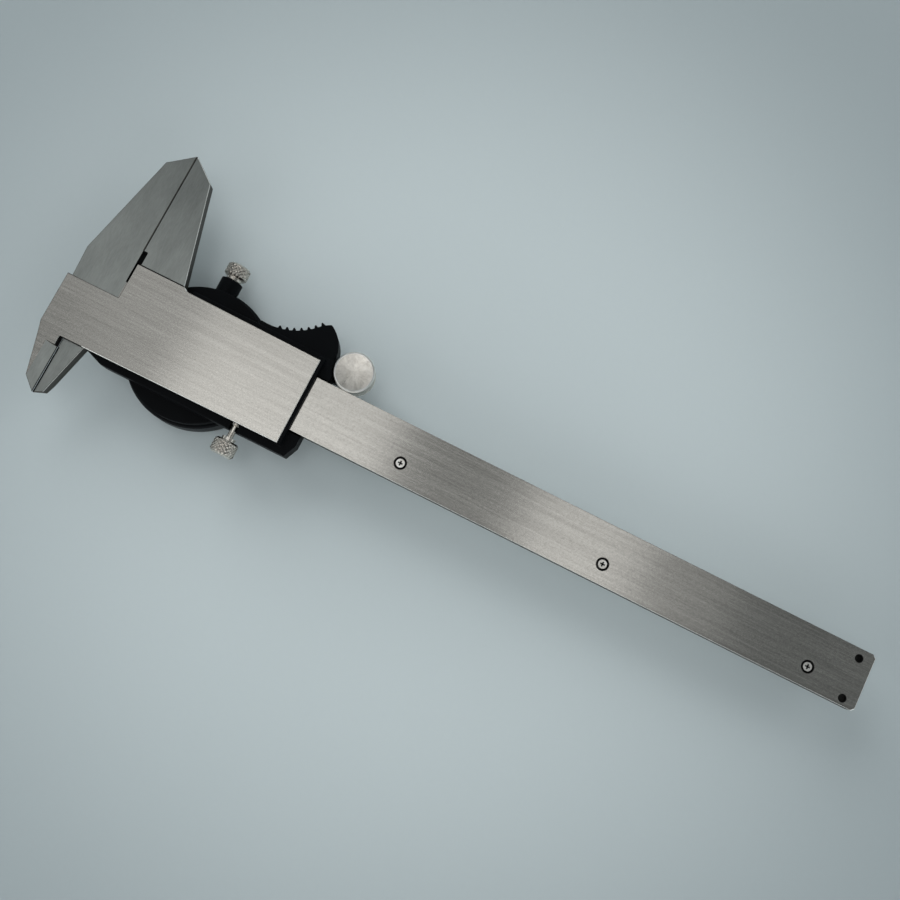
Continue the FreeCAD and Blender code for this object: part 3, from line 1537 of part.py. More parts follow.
MAKERS = [
    make_beam,
    make_rack,
    make_rack_screws,
    make_end_stop,
    make_end_stop_screws,
    make_slider_frame,
    make_gib,
    make_gib_screws,
    make_lock_screw,
    make_lock_pad,
    make_depth_rod,
    make_end_wiper,
    make_housing,
    make_housing_screws,
    make_bezel_clamp_screw,
    make_bezel_clamp_shoe,
    make_bezel,
    make_bezel_ring,
    make_crystal,
    make_dial_spacer,
    make_dial_face,
    make_pointer,
    make_movement_plate,
    make_bridge,
    make_bridge_screws,
    make_rack_wheel,
    make_centre_pinion,
    make_backlash_wheel,
    make_hairspring,
    make_thumb_roller,
    make_roller_washer,
    make_roller_screw,
]


def check_document():
    """Stops when any object of the document failed."""
    for thing in doc.Objects:
        if "Invalid" in thing.State or "Error" in thing.State:
            raise RuntimeError(thing.Name + " failed: " + str(thing.State))


def main():
    """Builds every sub-part, checks it and writes its file."""
    make_sheet()
    subparts = [make() for make in MAKERS]
    doc.recompute()
    check_document()
    os.makedirs("parts", exist_ok=True)
    for subpart in subparts:
        shape = subpart.Shape
        if shape.isNull() or not shape.isValid():
            raise RuntimeError(subpart.Label + " has no valid shape")
        print(subpart.Label, len(shape.Solids), "solids", round(shape.Volume, 2), "mm3")
        shape.exportStep(os.path.join("parts", subpart.Label + ".step"))


main()
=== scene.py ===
"""Dial caliper lying on its dial: brushed steel, black housing, knurled screws and a printed dial."""

import logging
import math
from dataclasses import dataclass, field
from enum import Enum
from typing import Callable

import bmesh
import bpy
from bpy.types import Material, Mesh, Node, NodeSocket, NodeTree, Object
from mathutils import Matrix, Vector


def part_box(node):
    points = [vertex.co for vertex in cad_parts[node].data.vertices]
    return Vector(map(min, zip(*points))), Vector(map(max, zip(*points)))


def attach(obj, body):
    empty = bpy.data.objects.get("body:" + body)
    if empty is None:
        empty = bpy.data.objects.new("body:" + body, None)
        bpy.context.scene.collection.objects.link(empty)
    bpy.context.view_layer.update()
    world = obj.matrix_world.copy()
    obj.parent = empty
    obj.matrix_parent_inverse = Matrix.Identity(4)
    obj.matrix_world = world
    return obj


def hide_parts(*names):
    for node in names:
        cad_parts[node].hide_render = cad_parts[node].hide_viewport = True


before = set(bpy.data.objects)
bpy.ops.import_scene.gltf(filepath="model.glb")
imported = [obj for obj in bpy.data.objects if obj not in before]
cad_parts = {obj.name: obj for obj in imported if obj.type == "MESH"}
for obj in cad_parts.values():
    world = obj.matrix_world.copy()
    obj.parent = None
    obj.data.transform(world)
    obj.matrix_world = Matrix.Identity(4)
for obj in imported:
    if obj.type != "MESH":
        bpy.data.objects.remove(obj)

log = logging.getLogger("dial_caliper")

MM = 0.001
FULL_TURN = 2 * math.pi
MATH = "ShaderNodeMath"
VECTOR_MATH = "ShaderNodeVectorMath"
COMBINE = "ShaderNodeCombineXYZ"
MAP_RANGE = "ShaderNodeMapRange"

FLAT = 0.98  # A face whose normal's Z is over this lies flat
SCREW_ROW_TO_AXIS = 4.35  # From the rack screws' edge to the beam's middle, in millimetres
CAPITAL_HEIGHT = 0.72  # Height of a digit over the font's size


# What feeds a node's socket: an output, or a node whose first output counts
Feed = Node | NodeSocket


class Grain(Enum):
    """Direction across the scratches that a finish shows, as a vector in the frame."""

    ALONG_BEAM = (0.0, 1.0, 0.0)
    ALONG_JAW = (1.0, 0.0, 0.0)


def linear(hex_colour: str) -> tuple[float, float, float, float]:
    """Turns an sRGB hex colour into the linear one that a socket takes.

    Args:
        hex_colour: A colour such as "#C8C4BC".

    Returns:
        Red, green, blue and an alpha of one.
    """
    channels = [int(hex_colour[at:at + 2], 16) / 255 for at in (1, 3, 5)]
    red, green, blue = [c / 12.92 if c <= 0.04045 else ((c + 0.055) / 1.055) ** 2.4 for c in channels]
    return red, green, blue, 1.0


def add(tree: NodeTree, kind: str, settings: dict | str | None = None, *values, **inputs) -> Node:
    """Adds a node with its settings, values and links.

    Args:
        tree: The tree that gets the node.
        kind: The node's type.
        settings: Its properties by name, or its operation alone.
        *values: For its first sockets in order, a value, an output or a node whose first output counts.
        **inputs: The same for a socket by its name, with _ for a blank.

    Returns:
        The new node.
    """
    node = tree.nodes.new(kind)
    if isinstance(settings, str):
        settings = {"operation": settings}
    for key, value in (settings or {}).items():
        setattr(node, key, value)
    named = [(node.inputs[key.replace("_", " ")], value) for key, value in inputs.items()]
    for socket, value in [*zip(node.inputs, values), *named]:
        if isinstance(value, Node):
            value = value.outputs[0]
        if isinstance(value, NodeSocket):
            tree.links.new(value, socket)
        else:
            socket.default_value = value
    return node


@dataclass(frozen=True)
class Surface:
    """A finish of two close tones, broken up by a grain and by slow patches of real sizes.

    The lengths are in millimetres. A metal keeps the default IOR.
    """

    name: str
    light: str
    dark: str
    grain: tuple[float, float, float]
    patches: tuple[float, float, float] = (9.0, 9.0, 9.0)
    metallic: float = 0.0
    roughness: float = 0.5
    roughness_swing: float = 0.08
    relief: float = 0.01
    patch_share: float = 0.5
    fleck: float = 0.45
    fleck_share: float = 0.0
    anisotropy: float = 0.0
    across: Grain = Grain.ALONG_BEAM
    ior: float = 1.5
    transmission: float = 0.0

    def tangent(self, tree: NodeTree, place: Feed) -> NodeSocket:
        """Direction across the scratches, in the world, for the shader's highlight."""
        across = add(tree, COMBINE, None, X=self.across.value[0], Y=self.across.value[1],
                     Z=self.across.value[2])
        return self.to_world(tree, across)

    def to_world(self, tree: NodeTree, vector: Feed) -> NodeSocket:
        """Turns a direction on the piece into one in the world, so that it turns with the piece."""
        settings = {"vector_type": "VECTOR", "convert_from": "OBJECT", "convert_to": "WORLD"}
        return add(tree, "ShaderNodeVectorTransform", settings, Vector=vector).outputs[0]

    def grain_place(self, tree: NodeTree, place: Feed) -> NodeSocket:
        """Coordinates in which the grain is as long as it is wide."""
        scale = [1 / (size * MM) for size in self.grain]
        return add(tree, "ShaderNodeMapping", None, Vector=place, Scale=scale).outputs[0]

    def tone(self, tree: NodeTree, place: Feed,
             mixed: Feed) -> Feed:
        """Share of the light tone at each point; the knurled finish darkens it towards its valleys and the floor's
        sheet paints a pool of light into it.
        """
        return mixed

    def make(self) -> Material:
        """Builds the material.

        Returns:
            The finished material.
        """
        material = bpy.data.materials.new(self.name)
        material.use_nodes = True
        tree = material.node_tree
        tree.nodes.clear()
        place = add(tree, "ShaderNodeTexCoord").outputs["Object"]
        fine = add(tree, "ShaderNodeTexNoise", None, Vector=self.grain_place(tree, place),
                   Scale=1.0, Detail=3.0, Roughness=0.6)
        wide = [1 / (size * MM) for size in self.patches]
        stretched = add(tree, "ShaderNodeMapping", None, Vector=place, Scale=wide)
        slow = add(tree, "ShaderNodeTexNoise", None, Vector=stretched, Scale=1.0, Detail=2.0)
        mixed = add(tree, "ShaderNodeMix", None, Factor=self.patch_share, A=fine, B=slow)
        if self.fleck_share:
            specks = add(tree, "ShaderNodeTexNoise", None, Vector=place, Scale=1 / (self.fleck * MM), Detail=1.0)
            mixed = add(tree, "ShaderNodeMix", None, Factor=self.fleck_share, A=mixed, B=specks)
        spread = add(tree, MAP_RANGE, None, Value=mixed, From_Min=0.3, From_Max=0.7)
        share = self.tone(tree, place, spread)
        ramp = add(tree, "ShaderNodeValToRGB", None, Fac=share)
        ramp.color_ramp.elements[0].color = linear(self.dark)
        ramp.color_ramp.elements[1].color = linear(self.light)
        rough = add(tree, MAP_RANGE, None, Value=fine, From_Min=0.3, From_Max=0.7,
                    To_Min=self.roughness - self.roughness_swing,
                    To_Max=self.roughness + self.roughness_swing).outputs[0]
        bump = add(tree, "ShaderNodeBump", None, Height=fine, Strength=0.5, Distance=self.relief * MM)
        shader = add(tree, "ShaderNodeBsdfPrincipled", None, Base_Color=ramp,
                     Metallic=self.metallic, Roughness=rough, Normal=bump)
        if self.metallic < 0.5:
            shader.inputs["IOR"].default_value = self.ior
            shader.inputs["Transmission Weight"].default_value = self.transmission
        if self.anisotropy:
            shader.inputs["Anisotropic"].default_value = self.anisotropy
            tree.links.new(self.tangent(tree, place), shader.inputs["Tangent"])
        add(tree, "ShaderNodeOutputMaterial", None, Surface=shader)
        return material


@dataclass(frozen=True)
class TurnedSurface(Surface):
    """Metal faced on a lathe: fine rings about an axis, and a highlight that fans out from it."""

    centre: tuple[float, float, float] = (0.0, 0.0, 0.0)

    def about_axis(self, tree: NodeTree, place: Feed) -> NodeSocket:
        """Vector from the axis to each point, flat on the face."""
        moved = add(tree, VECTOR_MATH, "SUBTRACT", place, self.centre)
        return add(tree, VECTOR_MATH, "MULTIPLY", moved, (1, 1, 0)).outputs[0]

    def tangent(self, tree: NodeTree, place: Feed) -> NodeSocket:
        """Direction away from the axis."""
        outward = add(tree, VECTOR_MATH, "NORMALIZE",
                      self.about_axis(tree, place))
        return self.to_world(tree, outward)

    def grain_place(self, tree: NodeTree, place: Feed) -> NodeSocket:
        """Distance from the axis in steps of the rings' pitch, with a little of the angle."""
        flat = self.about_axis(tree, place)
        reach = add(tree, VECTOR_MATH, "LENGTH", flat).outputs["Value"]
        rings = add(tree, MATH, "DIVIDE", reach, self.grain[0] * MM)
        axes = add(tree, "ShaderNodeSeparateXYZ", None, Vector=flat).outputs
        angle = add(tree, MATH, "ARCTAN2", axes[1], axes[0])
        sector = add(tree, MATH, "MULTIPLY", add(tree, MATH, "SINE", angle), 5.0)
        other = add(tree, MATH, "MULTIPLY", add(tree, MATH, "COSINE", angle), 5.0)
        return add(tree, COMBINE, None, X=rings, Y=sector, Z=other).outputs[0]


@dataclass(frozen=True)
class KnurledSurface(Surface):
    """Plated metal, darker towards the bottom of its knurl, about an axis along Y."""

    axis_x: float = 0.0
    axis_z: float = 0.0
    crest: float = 3.45
    depth: float = 0.3

    def tone(self, tree: NodeTree, place: Feed,
             mixed: Feed) -> Feed:
        """Darkens the finish towards the bottom of the knurl."""
        moved = add(tree, VECTOR_MATH, "SUBTRACT", place,
                    (self.axis_x, 0, self.axis_z))
        flat = add(tree, VECTOR_MATH, "MULTIPLY", moved, (1, 0, 1))
        reach = add(tree, VECTOR_MATH, "LENGTH", flat).outputs["Value"]
        clean = add(tree, MAP_RANGE, None, Value=reach, From_Min=(self.crest - self.depth) * MM,
                    From_Max=self.crest * MM, To_Min=0.0, To_Max=1.0)
        narrow = add(tree, MAP_RANGE, None, Value=reach, From_Min=(self.crest - self.depth * 2) * MM,
                     From_Max=(self.crest - self.depth * 1.5) * MM, To_Min=0.8, To_Max=0.0)
        kept = add(tree, MATH, "MAXIMUM", clean, narrow)
        return add(tree, MATH, "MULTIPLY", mixed, kept).outputs[0]


@dataclass(frozen=True)
class SheetSurface(Surface):
    """Large flat sheet with a painted pool of light: palest near a centre under the lamps, darker towards its far
    parts.
    """

    centre: tuple[float, float, float] = (0.0, 0.0, 0.0)
    pale_radius: float = 0.06
    far_radius: float = 0.2

    def tone(self, tree: NodeTree, place: Feed,
             mixed: Feed) -> Feed:
        """Painted light: pale in the middle, darker outwards, with a little of the mottle."""
        reach = add(tree, VECTOR_MATH, "DISTANCE", place, self.centre).outputs["Value"]
        fall = add(tree, MAP_RANGE, {"interpolation_type": "SMOOTHSTEP"}, Value=reach,
                   From_Min=self.pale_radius, From_Max=self.far_radius, To_Min=0.95, To_Max=0.0)
        return add(tree, MATH, "MULTIPLY_ADD", mixed, 0.05, fall).outputs[0]


@dataclass
class Finishes:
    """Every finish of the caliper, made once."""

    made: dict[str, Material] = field(default_factory=dict)

    def use(self, surface: Surface) -> Material:
        """Material of a finish, built the first time it is asked for."""
        if surface.name not in self.made:
            self.made[surface.name] = surface.make()
        return self.made[surface.name]


# Stainless steel, ground flat and brushed along the beam: long fine lines and cloudy streaks.
# The real lines are about 0.05 mm apart; they are drawn 0.45 mm wide so that they show.
BRUSHED_STEEL = Surface(
    "stainless_brushed", "#D6D3CC", "#A6A39D", grain=(14.0, 0.45, 0.45), patches=(60.0, 1.6, 1.6),
    metallic=1.0, roughness=0.24, roughness_swing=0.02, relief=0.0003, patch_share=0.35, fleck_share=0.3,
    anisotropy=0.92)

# The same steel, surface ground across the jaws: duller, with a very fine even grain.
GROUND_STEEL = Surface(
    "stainless_ground", "#9CA09D", "#868A87", grain=(0.3, 2.0, 0.3), patches=(3.0, 8.0, 3.0),
    metallic=1.0, roughness=0.32, roughness_swing=0.03, relief=0.001, anisotropy=0.8, across=Grain.ALONG_JAW)

# Broken edges of the same steel that face the camera and lamps, near white: a painted highlight.
PAINTED_HIGHLIGHT_EDGE = Surface(
    "stainless_painted_highlight", "#FFFFFC", "#DEDCD6", grain=(2.0, 2.0, 2.0), patches=(12.0, 12.0, 12.0),
    metallic=1.0, roughness=0.4, relief=0.002)

# Its side walls and the edges turned away from the lamps, milled and dull, in dark grey: painted shade.
SHADED_SIDE_STEEL = Surface(
    "stainless_shaded_side", "#65635F", "#484642", grain=(3.0, 3.0, 0.4), patches=(20.0, 20.0, 2.0),
    metallic=1.0, roughness=0.55, relief=0.006)

# Milled steel of the rack, depth rod and stop.
MILLED_STEEL = Surface(
    "steel_milled", "#C2C0BA", "#97958F", grain=(3.0, 0.3, 0.3), metallic=1.0, roughness=0.38, relief=0.01)

# Oil-blackened steel of the small screws: dark heads with the metal showing through.
BLACKENED_STEEL = Surface(
    "steel_blackened", "#3C3C3A", "#151514", grain=(0.6, 0.6, 0.6), metallic=1.0, roughness=0.45, relief=0.01)

# Bright pan and countersunk heads, turned and lightly tumbled.
SCREW_STEEL = Surface(
    "steel_screw", "#FFFEFA", "#DAD6CE", grain=(0.5, 0.5, 0.5), patches=(2.0, 2.0, 2.0),
    metallic=1.0, roughness=0.4, relief=0.004)

# Recesses, slits, corners, joint lines and the blades' edges: near-black painted shade.
PAINTED_SHADE_RECESS = Surface(
    "painted_shade_recess", "#0E0D0C", "#050505", grain=(0.4, 0.4, 0.4), roughness=0.7, relief=0.005, ior=1.3)

# Moulded black ABS with a fine spark-eroded grain: matt, a little blue under a cold light.
BLACK_ABS = Surface(
    "abs_black", "#080B0E", "#040506", grain=(0.35, 0.35, 0.35), patches=(12.0, 12.0, 12.0),
    roughness=0.5, roughness_swing=0.08, relief=0.012, ior=1.16)

# Black anodised aluminium of the bezel: turned, satin.
BLACK_ANODISED = Surface(
    "aluminium_black_anodised", "#0A0E12", "#040608", grain=(0.4, 0.4, 0.2),
    roughness=0.4, relief=0.006, ior=1.2)

# Clock brass, brushed.
BRASS = Surface(
    "brass_brushed", "#D3B06A", "#A9853F", grain=(2.0, 0.25, 0.25), metallic=1.0, roughness=0.3, relief=0.006)

# Blued spring steel.
BLUED_STEEL = Surface(
    "steel_blued", "#55607C", "#2B3350", grain=(1.0, 0.4, 0.4), metallic=1.0, roughness=0.3, relief=0.004)

# Matt white enamel of the dial, with the faint orange peel of a sprayed coat.
DIAL_ENAMEL = Surface(
    "enamel_white", "#EFEDE6", "#E2E0D8", grain=(0.5, 0.5, 0.5), roughness=0.42, relief=0.004, ior=1.5)

# Black printing ink on the dial and the pointer's lacquer.
BLACK_INK = Surface(
    "ink_black", "#1A1A1B", "#0C0C0D", grain=(0.3, 0.3, 0.3), roughness=0.5, relief=0.003, ior=1.5)

# Black fill of the engraved scale.
SCALE_FILL = Surface(
    "scale_fill", "#2A2A2A", "#141414", grain=(0.3, 0.3, 0.3), roughness=0.6, relief=0.003, ior=1.5)

# Acrylic crystal, clear with faint polishing haze.
ACRYLIC = Surface(
    "acrylic_clear", "#FBFDFD", "#F2F6F6", grain=(2.0, 2.0, 2.0), roughness=0.05, roughness_swing=0.02,
    relief=0.001, ior=1.49, transmission=1.0)

# Black nylon of the clamp shoe and the dial spacer.
BLACK_NYLON = Surface(
    "nylon_black", "#202022", "#121213", grain=(0.6, 0.6, 0.6), roughness=0.55, relief=0.01, ior=1.53)


def smooth(mesh: Mesh, angle: float = 32.0) -> Mesh:
    """Shades a mesh smooth but for its sharp edges."""
    mesh.polygons.foreach_set("use_smooth", [True] * len(mesh.polygons))
    mesh.set_sharp_from_angle(angle=math.radians(angle))
    return mesh


def link(name: str, mesh: Mesh) -> Object:
    """Puts a mesh into the scene as an object at the origin."""
    made = bpy.data.objects.new(name, mesh)
    bpy.context.scene.collection.objects.link(made)
    return made


def evaluated(holder: Object) -> Mesh:
    """Plain mesh of an object with its modifiers carried out.

    Args:
        holder: The object, which is removed.

    Returns:
        The finished mesh.
    """
    depsgraph = bpy.context.evaluated_depsgraph_get()
    mesh = bpy.data.meshes.new_from_object(holder.evaluated_get(depsgraph), depsgraph=depsgraph)
    holder.modifiers.clear()
    bpy.data.objects.remove(holder)
    return mesh


def piece(name: str, mesh: Mesh, body: str, stands_for: tuple[str, ...] = ()) -> Object:
    """Hangs a finished mesh on its body.

    Args:
        name: The piece's name.
        mesh: Its mesh, already in place.
        body: The body that it rides on.
        stands_for: The solids that it replaces.

    Returns:
        The piece.
    """
    made = link(name, mesh)
    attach(made, body)
    if stands_for:
        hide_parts(*stands_for)
    log.info("%s: %d faces on %s", name, len(mesh.polygons), body)
    return made


def paint(node: str, material: Material) -> None:
    """Gives a solid of the frame its material."""
    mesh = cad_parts[node].data
    mesh.materials.clear()
    mesh.materials.append(material)
    log.info("%s: solid dressed with %s", node, material.name)


def broken_edges(node: str, width: float, materials: list[Material],
                 choose: Callable[[Vector, Vector], int] | None = None,
                 cuts: tuple[tuple[Vector, Vector], ...] = (), angle: float = 30.0) -> Mesh:
    """Copy of a solid with its sharp edges broken, as a file or a tumbler leaves them.

    Args:
        node: The solid.
        width: Width of the broken edge in millimetres.
        materials: The materials that its faces use.
        choose: Gives the material's number for a face's middle and normal.
        cuts: Points and normals of planes that divide its faces first.
        angle: Edges sharper than this many degrees are broken.

    Returns:
        The finished mesh.
    """
    shape = bmesh.new()
    shape.from_mesh(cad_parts[node].data)
    bmesh.ops.remove_doubles(shape, verts=shape.verts, dist=1e-6)
    bmesh.ops.dissolve_limit(shape, angle_limit=math.radians(0.4), verts=shape.verts, edges=shape.edges)
    for point, normal in cuts:
        geometry = shape.verts[:] + shape.edges[:] + shape.faces[:]
        bmesh.ops.bisect_plane(shape, geom=geometry, plane_co=point, plane_no=normal)
    mesh = bpy.data.meshes.new(node + "_edges")
    shape.to_mesh(mesh)
    shape.free()
    for material in materials:
        mesh.materials.append(material)
    holder = link(node + "_edges", mesh)
    bevel = holder.modifiers.new("broken_edges", "BEVEL")
    bevel.width = width * MM
    bevel.segments = 2
    bevel.limit_method = "ANGLE"
    bevel.angle_limit = math.radians(angle)
    bevel.use_clamp_overlap = False
    bevel.miter_outer = "MITER_ARC"
    even = holder.modifiers.new("flat_faces", "WEIGHTED_NORMAL")
    even.weight = 100
    even.keep_sharp = True
    smooth(mesh)
    finished = evaluated(holder)
    if choose:
        chosen = [choose(face.center, face.normal) for face in finished.polygons]
        finished.polygons.foreach_set("material_index", chosen)
    return finished


class Part(Enum):
    """Numbers of the finishes on a brushed solid's faces."""

    BRUSHED = 0
    GROUND = 1
    PAINTED_SHADE = 2
    PAINTED_HIGHLIGHT = 3
    SIDE = 4


PART_FINISHES = {Part.BRUSHED: BRUSHED_STEEL, Part.GROUND: GROUND_STEEL, Part.PAINTED_SHADE: PAINTED_SHADE_RECESS,
                 Part.PAINTED_HIGHLIGHT: PAINTED_HIGHLIGHT_EDGE, Part.SIDE: SHADED_SIDE_STEEL}


def rim_part(normal: Vector, flat: Part) -> Part:
    """Finish of a face by its slope.

    Args:
        normal: The face's normal.
        flat: The finish where it lies flat.

    Returns:
        Painted highlight on the sloped faces that turn up and towards -Y or +X, where the camera and lamps are;
        painted shade on the walls and the other edges.
    """
    if abs(normal.z) > FLAT:
        return flat
    # Sloped faces turned up and towards -Y or +X take the painted highlight
    lit_side = normal.z > 0.1 and (normal.y < -0.2 or normal.x > 0.2)
    return Part.PAINTED_HIGHLIGHT if lit_side else Part.SIDE


def lathe(profile: list[tuple[float, float]], steps: int) -> Mesh:
    """Solid turned about Z.

    Args:
        profile: Radius and height pairs in millimetres, from one end to the other. A radius of zero
            closes an end, and a profile that starts and ends off the axis is joined into a ring.
        steps: Number of faces around.

    Returns:
        The mesh, with its faces outwards.
    """
    shape = bmesh.new()
    rings = []
    for radius, height in profile:
        if radius == 0:
            rings.append([shape.verts.new((0, 0, height * MM))])
            continue
        turns = [FULL_TURN * step / steps for step in range(steps)]
        rings.append([shape.verts.new((radius * MM * math.cos(t), radius * MM * math.sin(t), height * MM))
                      for t in turns])
    pairs = list(zip(rings, rings[1:]))
    if profile[0][0] != 0:
        pairs.append((rings[-1], rings[0]))
    for low, high in pairs:
        for step in range(steps):
            after = (step + 1) % steps
            corners = [low[step % len(low)], low[after % len(low)], high[after % len(high)], high[step % len(high)]]
            shape.faces.new(list(dict.fromkeys(corners)))
    bmesh.ops.recalc_face_normals(shape, faces=shape.faces)
    mesh = bpy.data.meshes.new("turned")
    shape.to_mesh(mesh)
    shape.free()
    return mesh


def rows_between(start: float, end: float, radius: float, count: int) -> list[tuple[float, float]]:
    """Profile points of equal radius, close enough together for a knurl."""
    return [(radius, start + (end - start) * index / count) for index in range(count + 1)]


class Shape(Enum):
    """The socket types that a geometry tree's inputs use."""

    LENGTH = "NodeSocketFloat"
    COUNT = "NodeSocketInt"
    FINISH = "NodeSocketMaterial"
    SOLID = "NodeSocketGeometry"


def new_tree(name: str, inputs: dict[str, Shape]) -> tuple[NodeTree, bpy.types.bpy_prop_collection]:
    """An empty geometry tree with named inputs.

    Args:
        name: The tree's name.
        inputs: The type of each input by its name.

    Returns:
        The tree and its inputs' sockets.
    """
    tree = bpy.data.node_groups.new(name, "GeometryNodeTree")
    tree.interface.new_socket("Geometry", in_out="OUTPUT", socket_type=Shape.SOLID.value)
    for label, kind in inputs.items():
        tree.interface.new_socket(label, in_out="INPUT", socket_type=kind.value)
    return tree, add(tree, "NodeGroupInput").outputs


def close_tree(tree: NodeTree, geometry: Feed, finish: Feed) -> None:
    """Ends a tree with real geometry in its finish."""
    real = add(tree, "GeometryNodeRealizeInstances", None, Geometry=geometry)
    dressed = add(tree, "GeometryNodeSetMaterial", None, Geometry=real, Material=finish)
    add(tree, "NodeGroupOutput", None, Geometry=dressed)


def grow(tree: NodeTree, values: dict, blank: Mesh | None = None) -> Object:
    """Object that carries a geometry tree with its inputs set.

    Args:
        tree: The tree.
        values: Each input's value by name, lengths in metres.
        blank: The mesh that the tree changes, where it takes one.

    Returns:
        The object, with the tree as its modifier.
    """
    holder = link(tree.name, blank or bpy.data.meshes.new(tree.name))
    modifier = holder.modifiers.new("shape", "NODES")
    modifier.node_group = tree
    for item in tree.interface.items_tree:
        if item.in_out == "INPUT" and item.name in values:
            modifier[item.identifier] = values[item.name]
    return holder


def knurl_tree() -> NodeTree:
    """Tree that presses a knurl into a turned blank, between two heights and near its rim."""
    tree, given = new_tree("knurl", {
        "Blank": Shape.SOLID, "Depth": Shape.LENGTH, "Teeth": Shape.COUNT, "Slant": Shape.LENGTH,
        "Start": Shape.LENGTH, "End": Shape.LENGTH, "Rim": Shape.LENGTH, "Finish": Shape.FINISH})
    place = add(tree, "GeometryNodeInputPosition")
    axes = add(tree, "ShaderNodeSeparateXYZ", None, Vector=place).outputs
    angle = add(tree, MATH, "ARCTAN2", axes[1], axes[0])
    around = add(tree, MATH, "MULTIPLY", add(tree, MATH, "DIVIDE", angle, FULL_TURN), given["Teeth"])
    along = add(tree, MATH, "MULTIPLY", axes[2], given["Slant"])
    heights = []
    for operation in ("ADD", "SUBTRACT"):
        turn = add(tree, MATH, "FRACT", add(tree, MATH, operation, around, along))
        swing = add(tree, MATH, "SUBTRACT", add(tree, MATH, "MULTIPLY", turn, 2.0), 1.0)
        fold = add(tree, MATH, "ABSOLUTE", swing)
        heights.append(fold)
    valley = add(tree, MATH, "MAXIMUM", *heights)
    sink = add(tree, MATH, "MULTIPLY", add(tree, MATH, "MULTIPLY", valley, given["Depth"]), -1.0)
    flat = add(tree, VECTOR_MATH, "MULTIPLY", place, (1, 1, 0))
    outward = add(tree, VECTOR_MATH, "NORMALIZE", flat)
    reach = add(tree, VECTOR_MATH, "LENGTH", flat).outputs["Value"]
    offset = add(tree, VECTOR_MATH, "SCALE", outward, Scale=sink)
    above = add(tree, MATH, "GREATER_THAN", axes[2], given["Start"])
    below = add(tree, MATH, "LESS_THAN", axes[2], given["End"])
    outside = add(tree, MATH, "GREATER_THAN", reach, given["Rim"])
    chosen = add(tree, MATH, "MULTIPLY", add(tree, MATH, "MULTIPLY", above, below), outside)
    pressed = add(tree, "GeometryNodeSetPosition", None, Geometry=given["Blank"], Selection=chosen, Offset=offset)
    close_tree(tree, pressed, given["Finish"])
    return tree


def place_marks(tree: NodeTree, given: bpy.types.bpy_prop_collection, points: Feed, stretch: Feed,
                turn: Feed | float) -> None:
    """Ends a tree of marks with a bar on each point.

    Args:
        tree: The tree.
        given: Its inputs, with the bar's Width, Length and Thickness.
        points: Where the bars go.
        stretch: How many times longer each bar is than the shortest.
        turn: Its turn about Z.
    """
    size = add(tree, COMBINE, None, X=given["Width"], Y=given["Length"], Z=given["Thickness"])
    mark = add(tree, "GeometryNodeMeshCube", None, Size=size)
    facing = add(tree, COMBINE, None, Z=turn)
    scale = add(tree, COMBINE, None, X=1.0, Y=stretch, Z=1.0)
    marks = add(tree, "GeometryNodeInstanceOnPoints", None, Points=points, Instance=mark, Rotation=facing, Scale=scale)
    close_tree(tree, marks, given["Finish"])


def round_marks_tree() -> NodeTree:
    """Tree for a dial's ring of printed marks, every fifth and tenth one longer."""
    tree, given = new_tree("round_marks", {
        "Count": Shape.COUNT, "Radius": Shape.LENGTH, "Length": Shape.LENGTH, "Width": Shape.LENGTH,
        "Thickness": Shape.LENGTH, "Finish": Shape.FINISH})
    index = add(tree, "GeometryNodeInputIndex")
    points = add(tree, "GeometryNodeMeshLine", None, Count=given["Count"], Start_Location=(0, 0, 0),
                 Offset=(0, 0, 0))
    turn = add(tree, MATH, "MULTIPLY", add(tree, MATH, "DIVIDE", index, given["Count"]), FULL_TURN)
    stretch = longer_marks(tree, index)
    half = add(tree, MATH, "MULTIPLY", add(tree, MATH, "MULTIPLY", stretch, given["Length"]), 0.5)
    reach = add(tree, MATH, "SUBTRACT", given["Radius"], half)
    x = add(tree, MATH, "MULTIPLY", add(tree, MATH, "SINE", turn), reach)
    down = add(tree, MATH, "MULTIPLY", add(tree, MATH, "COSINE", turn), reach)
    y = add(tree, MATH, "MULTIPLY", down, -1.0)
    spot = add(tree, COMBINE, None, X=x, Y=y)
    moved = add(tree, "GeometryNodeSetPosition", None, Geometry=points, Position=spot)
    place_marks(tree, given, moved, stretch, turn)
    return tree


def longer_marks(tree: NodeTree, index: Feed) -> NodeSocket:
    """Length of each mark over the shortest: 1.35 times at fives and 1.7 times at tens."""
    fives = add(tree, MATH, "LESS_THAN", add(tree, MATH, "MODULO", index, 5.0), 0.5)
    tens = add(tree, MATH, "LESS_THAN", add(tree, MATH, "MODULO", index, 10.0), 0.5)
    both = add(tree, MATH, "ADD", fives, tens)
    return add(tree, MATH, "MULTIPLY_ADD", both, 0.35, 1.0).outputs[0]


def straight_marks_tree() -> NodeTree:
    """Tree for the beam's row of millimetre marks, every fifth and tenth one longer."""
    tree, given = new_tree("straight_marks", {
        "Count": Shape.COUNT, "Pitch": Shape.LENGTH, "Length": Shape.LENGTH, "Width": Shape.LENGTH,
        "Thickness": Shape.LENGTH, "Finish": Shape.FINISH})
    index = add(tree, "GeometryNodeInputIndex")
    stretch = longer_marks(tree, index)
    pitch = add(tree, COMBINE, None, X=given["Pitch"])
    points = add(tree, "GeometryNodeMeshLine", None, Count=given["Count"], Offset=pitch)
    half = add(tree, MATH, "MULTIPLY", add(tree, MATH, "MULTIPLY", stretch, given["Length"]), 0.5)
    shift = add(tree, COMBINE, None, Y=half)
    moved = add(tree, "GeometryNodeSetPosition", None, Geometry=points, Offset=shift)
    place_marks(tree, given, moved, stretch, 0.0)
    return tree


